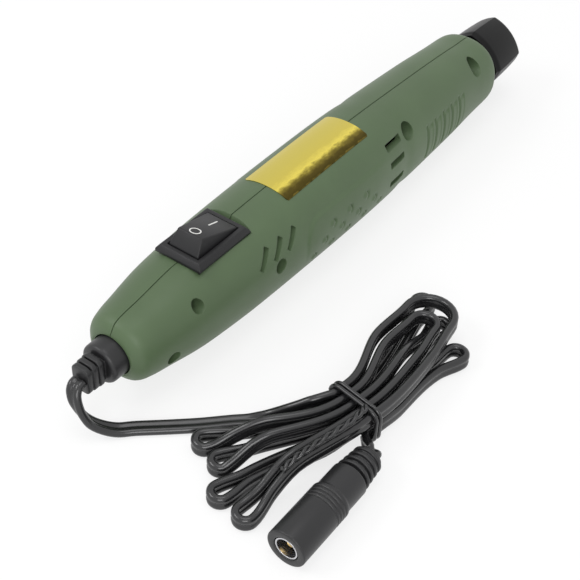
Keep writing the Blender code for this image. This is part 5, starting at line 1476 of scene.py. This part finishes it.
def make_tie():
    """A plastic-covered wire, twice round the waist, its two ends twisted together."""
    gap = TIE_CLEARANCE + TIE_RADIUS
    half_across = WAIST_PITCH * (WAIST_COLUMNS - 1) / 2 + CORD_THICKNESS / 2 + gap
    low = max(WAIST_LOW - CORD_WIDTH / 2 - gap, TIE_RADIUS)
    high = WAIST_LOW + WAIST_LAYER + CORD_WIDTH / 2 + gap
    loop = round_rectangle(half_across, (high - low) / 2, TIE_ROUND)
    points = []
    for i in range(TIE_WRAPS * len(loop) + 1):
        across, height = loop[i % len(loop)]
        along = TIE_PITCH * (i / len(loop) - TIE_WRAPS / 2)
        points.append(hank_place(along, across, (high + low) / 2 + height))
    parts = [wire("wrap", points, TIE_RADIUS)]
    middle = [Vector(row) for row in smooth_route(TIE_TAIL, TAIL_STEPS)]
    for side in (-1, 1):
        tail = []
        for i, point in enumerate(middle):
            turn = tau * TAIL_TURNS * i / (len(middle) - 1)
            tail.append(point + Vector((0, cos(turn), sin(turn))) * TAIL_SPREAD * side)
        parts.append(wire("tail", tail, TAIL_RADIUS))
    bpy.context.view_layer.update()
    tie = join("wire_tie", parts)
    tie.data.shade_smooth()
    return piece(tie, "casing", "black_vinyl", "cord_tie")


# Socket
def socket_outline():
    """Ringed barrel with its hole, grip and ribbed tail, from the open end."""
    grip_end = SOCKET_BARREL + SOCKET_GRIP
    outline = [
        (SOCKET_HOLE_DEPTH, 0),
        (SOCKET_HOLE_DEPTH, SOCKET_HOLE_RADIUS),
        (0, SOCKET_HOLE_RADIUS),
        (0, SOCKET_RADIUS),
    ]
    half = SOCKET_RING_PITCH / 4
    sunk = SOCKET_RADIUS - SOCKET_RING_DEPTH
    for i in range(SOCKET_RINGS):
        ring = SOCKET_BARREL - SOCKET_RING_PITCH * (SOCKET_RINGS - i)
        outline += bump(ring - half, ring + half, SOCKET_RADIUS, sunk, half / 2)
    outline += [
        (SOCKET_BARREL, SOCKET_RADIUS),
        (SOCKET_BARREL + SOCKET_EDGE, SOCKET_GRIP_RADIUS),
        (grip_end, SOCKET_GRIP_RADIUS),
        (grip_end, SOCKET_NECK_RADIUS),
    ]
    for i in range(SOCKET_RIB_COUNT):
        rib = grip_end + SOCKET_RIB_PITCH * (i + 1 / 2)
        radius = SOCKET_RIB_RADIUS - SOCKET_RIB_SHRINK * i
        outline += bump(rib, rib + SOCKET_RIB_PITCH / 2, SOCKET_NECK_RADIUS, radius)
    rear = grip_end + SOCKET_RIB_PITCH * (SOCKET_RIB_COUNT + 1 / 2)
    return outline + [(rear, SOCKET_NECK_RADIUS), (rear, 0)]


def make_socket():
    """Inline power socket, and the contact sleeve in its hole."""
    low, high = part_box("socket_body")
    middle = ((low.y + high.y) / 2, (low.z + high.z) / 2)
    mesh = turned_mesh(rounded_outline(socket_outline(), SOCKET_ROUND, SOCKET_ROUND_STEPS))
    body = mesh_object("power_socket", mesh, "rubber", (low.x, *middle), SOCKET_SHARP)
    piece(body, "casing", "black_vinyl", "socket_body")
    low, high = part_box("socket_sleeve")
    outer = (high.y - low.y) / 2
    sleeve = turned_mesh(bump(0, high.x - low.x, outer - SLEEVE_WALL, outer))
    ring = mesh_object("contact_sleeve", sleeve, "steel", (low.x, *middle), SLEEVE_SHARP)
    piece(ring, "casing", "steel", "socket_sleeve")
    return [body, ring]


# Studio
def make_light(name, place, size, energy):
    data = bpy.data.lights.new(name, "AREA")
    data.shape = "RECTANGLE"
    data.size, data.size_y = size
    data.energy = energy
    light = add_object(name, data)
    light.location = place
    light.rotation_euler = (Vector(LIGHT_AIM) - Vector(place)).to_track_quat("-Z", "Y").to_euler()


def make_studio():
    """White floor, three soft lamps, and a world that lights at one strength and shows white."""
    bm = bmesh.new()
    bmesh.ops.create_grid(bm, x_segments=1, y_segments=1, size=FLOOR_HALF)
    floor = mesh_object("floor", bm, None, sharp=0)
    floor.data.materials.append(floor_material())
    world = bpy.data.worlds.new("studio")
    bpy.context.scene.world = world
    world.use_nodes = True
    tree = world.node_tree
    light = tree.nodes["Background"]
    light.inputs["Color"].default_value = WHITE
    light.inputs["Strength"].default_value = WORLD_STRENGTH
    white = node(tree, "Background", Color=WHITE, Strength=1.0)
    mix_shaders(tree, seen_rays(tree), light, white, "World Output")
    for values in LIGHTS:
        make_light(*values)
    bpy.context.scene.view_settings.view_transform = "Standard"


HELPERS = []
make_camera()
LOOKS = make_materials()
flat_lead, route = make_lead()
tie_piece = make_tie()
socket_pieces = make_socket()
make_relief()
make_shells()
make_screws()
make_foil()
make_nose_cap()
make_switch()
make_rocker()
dress_solids()
make_studio()
for used in HELPERS:
    bpy.data.objects.remove(used)
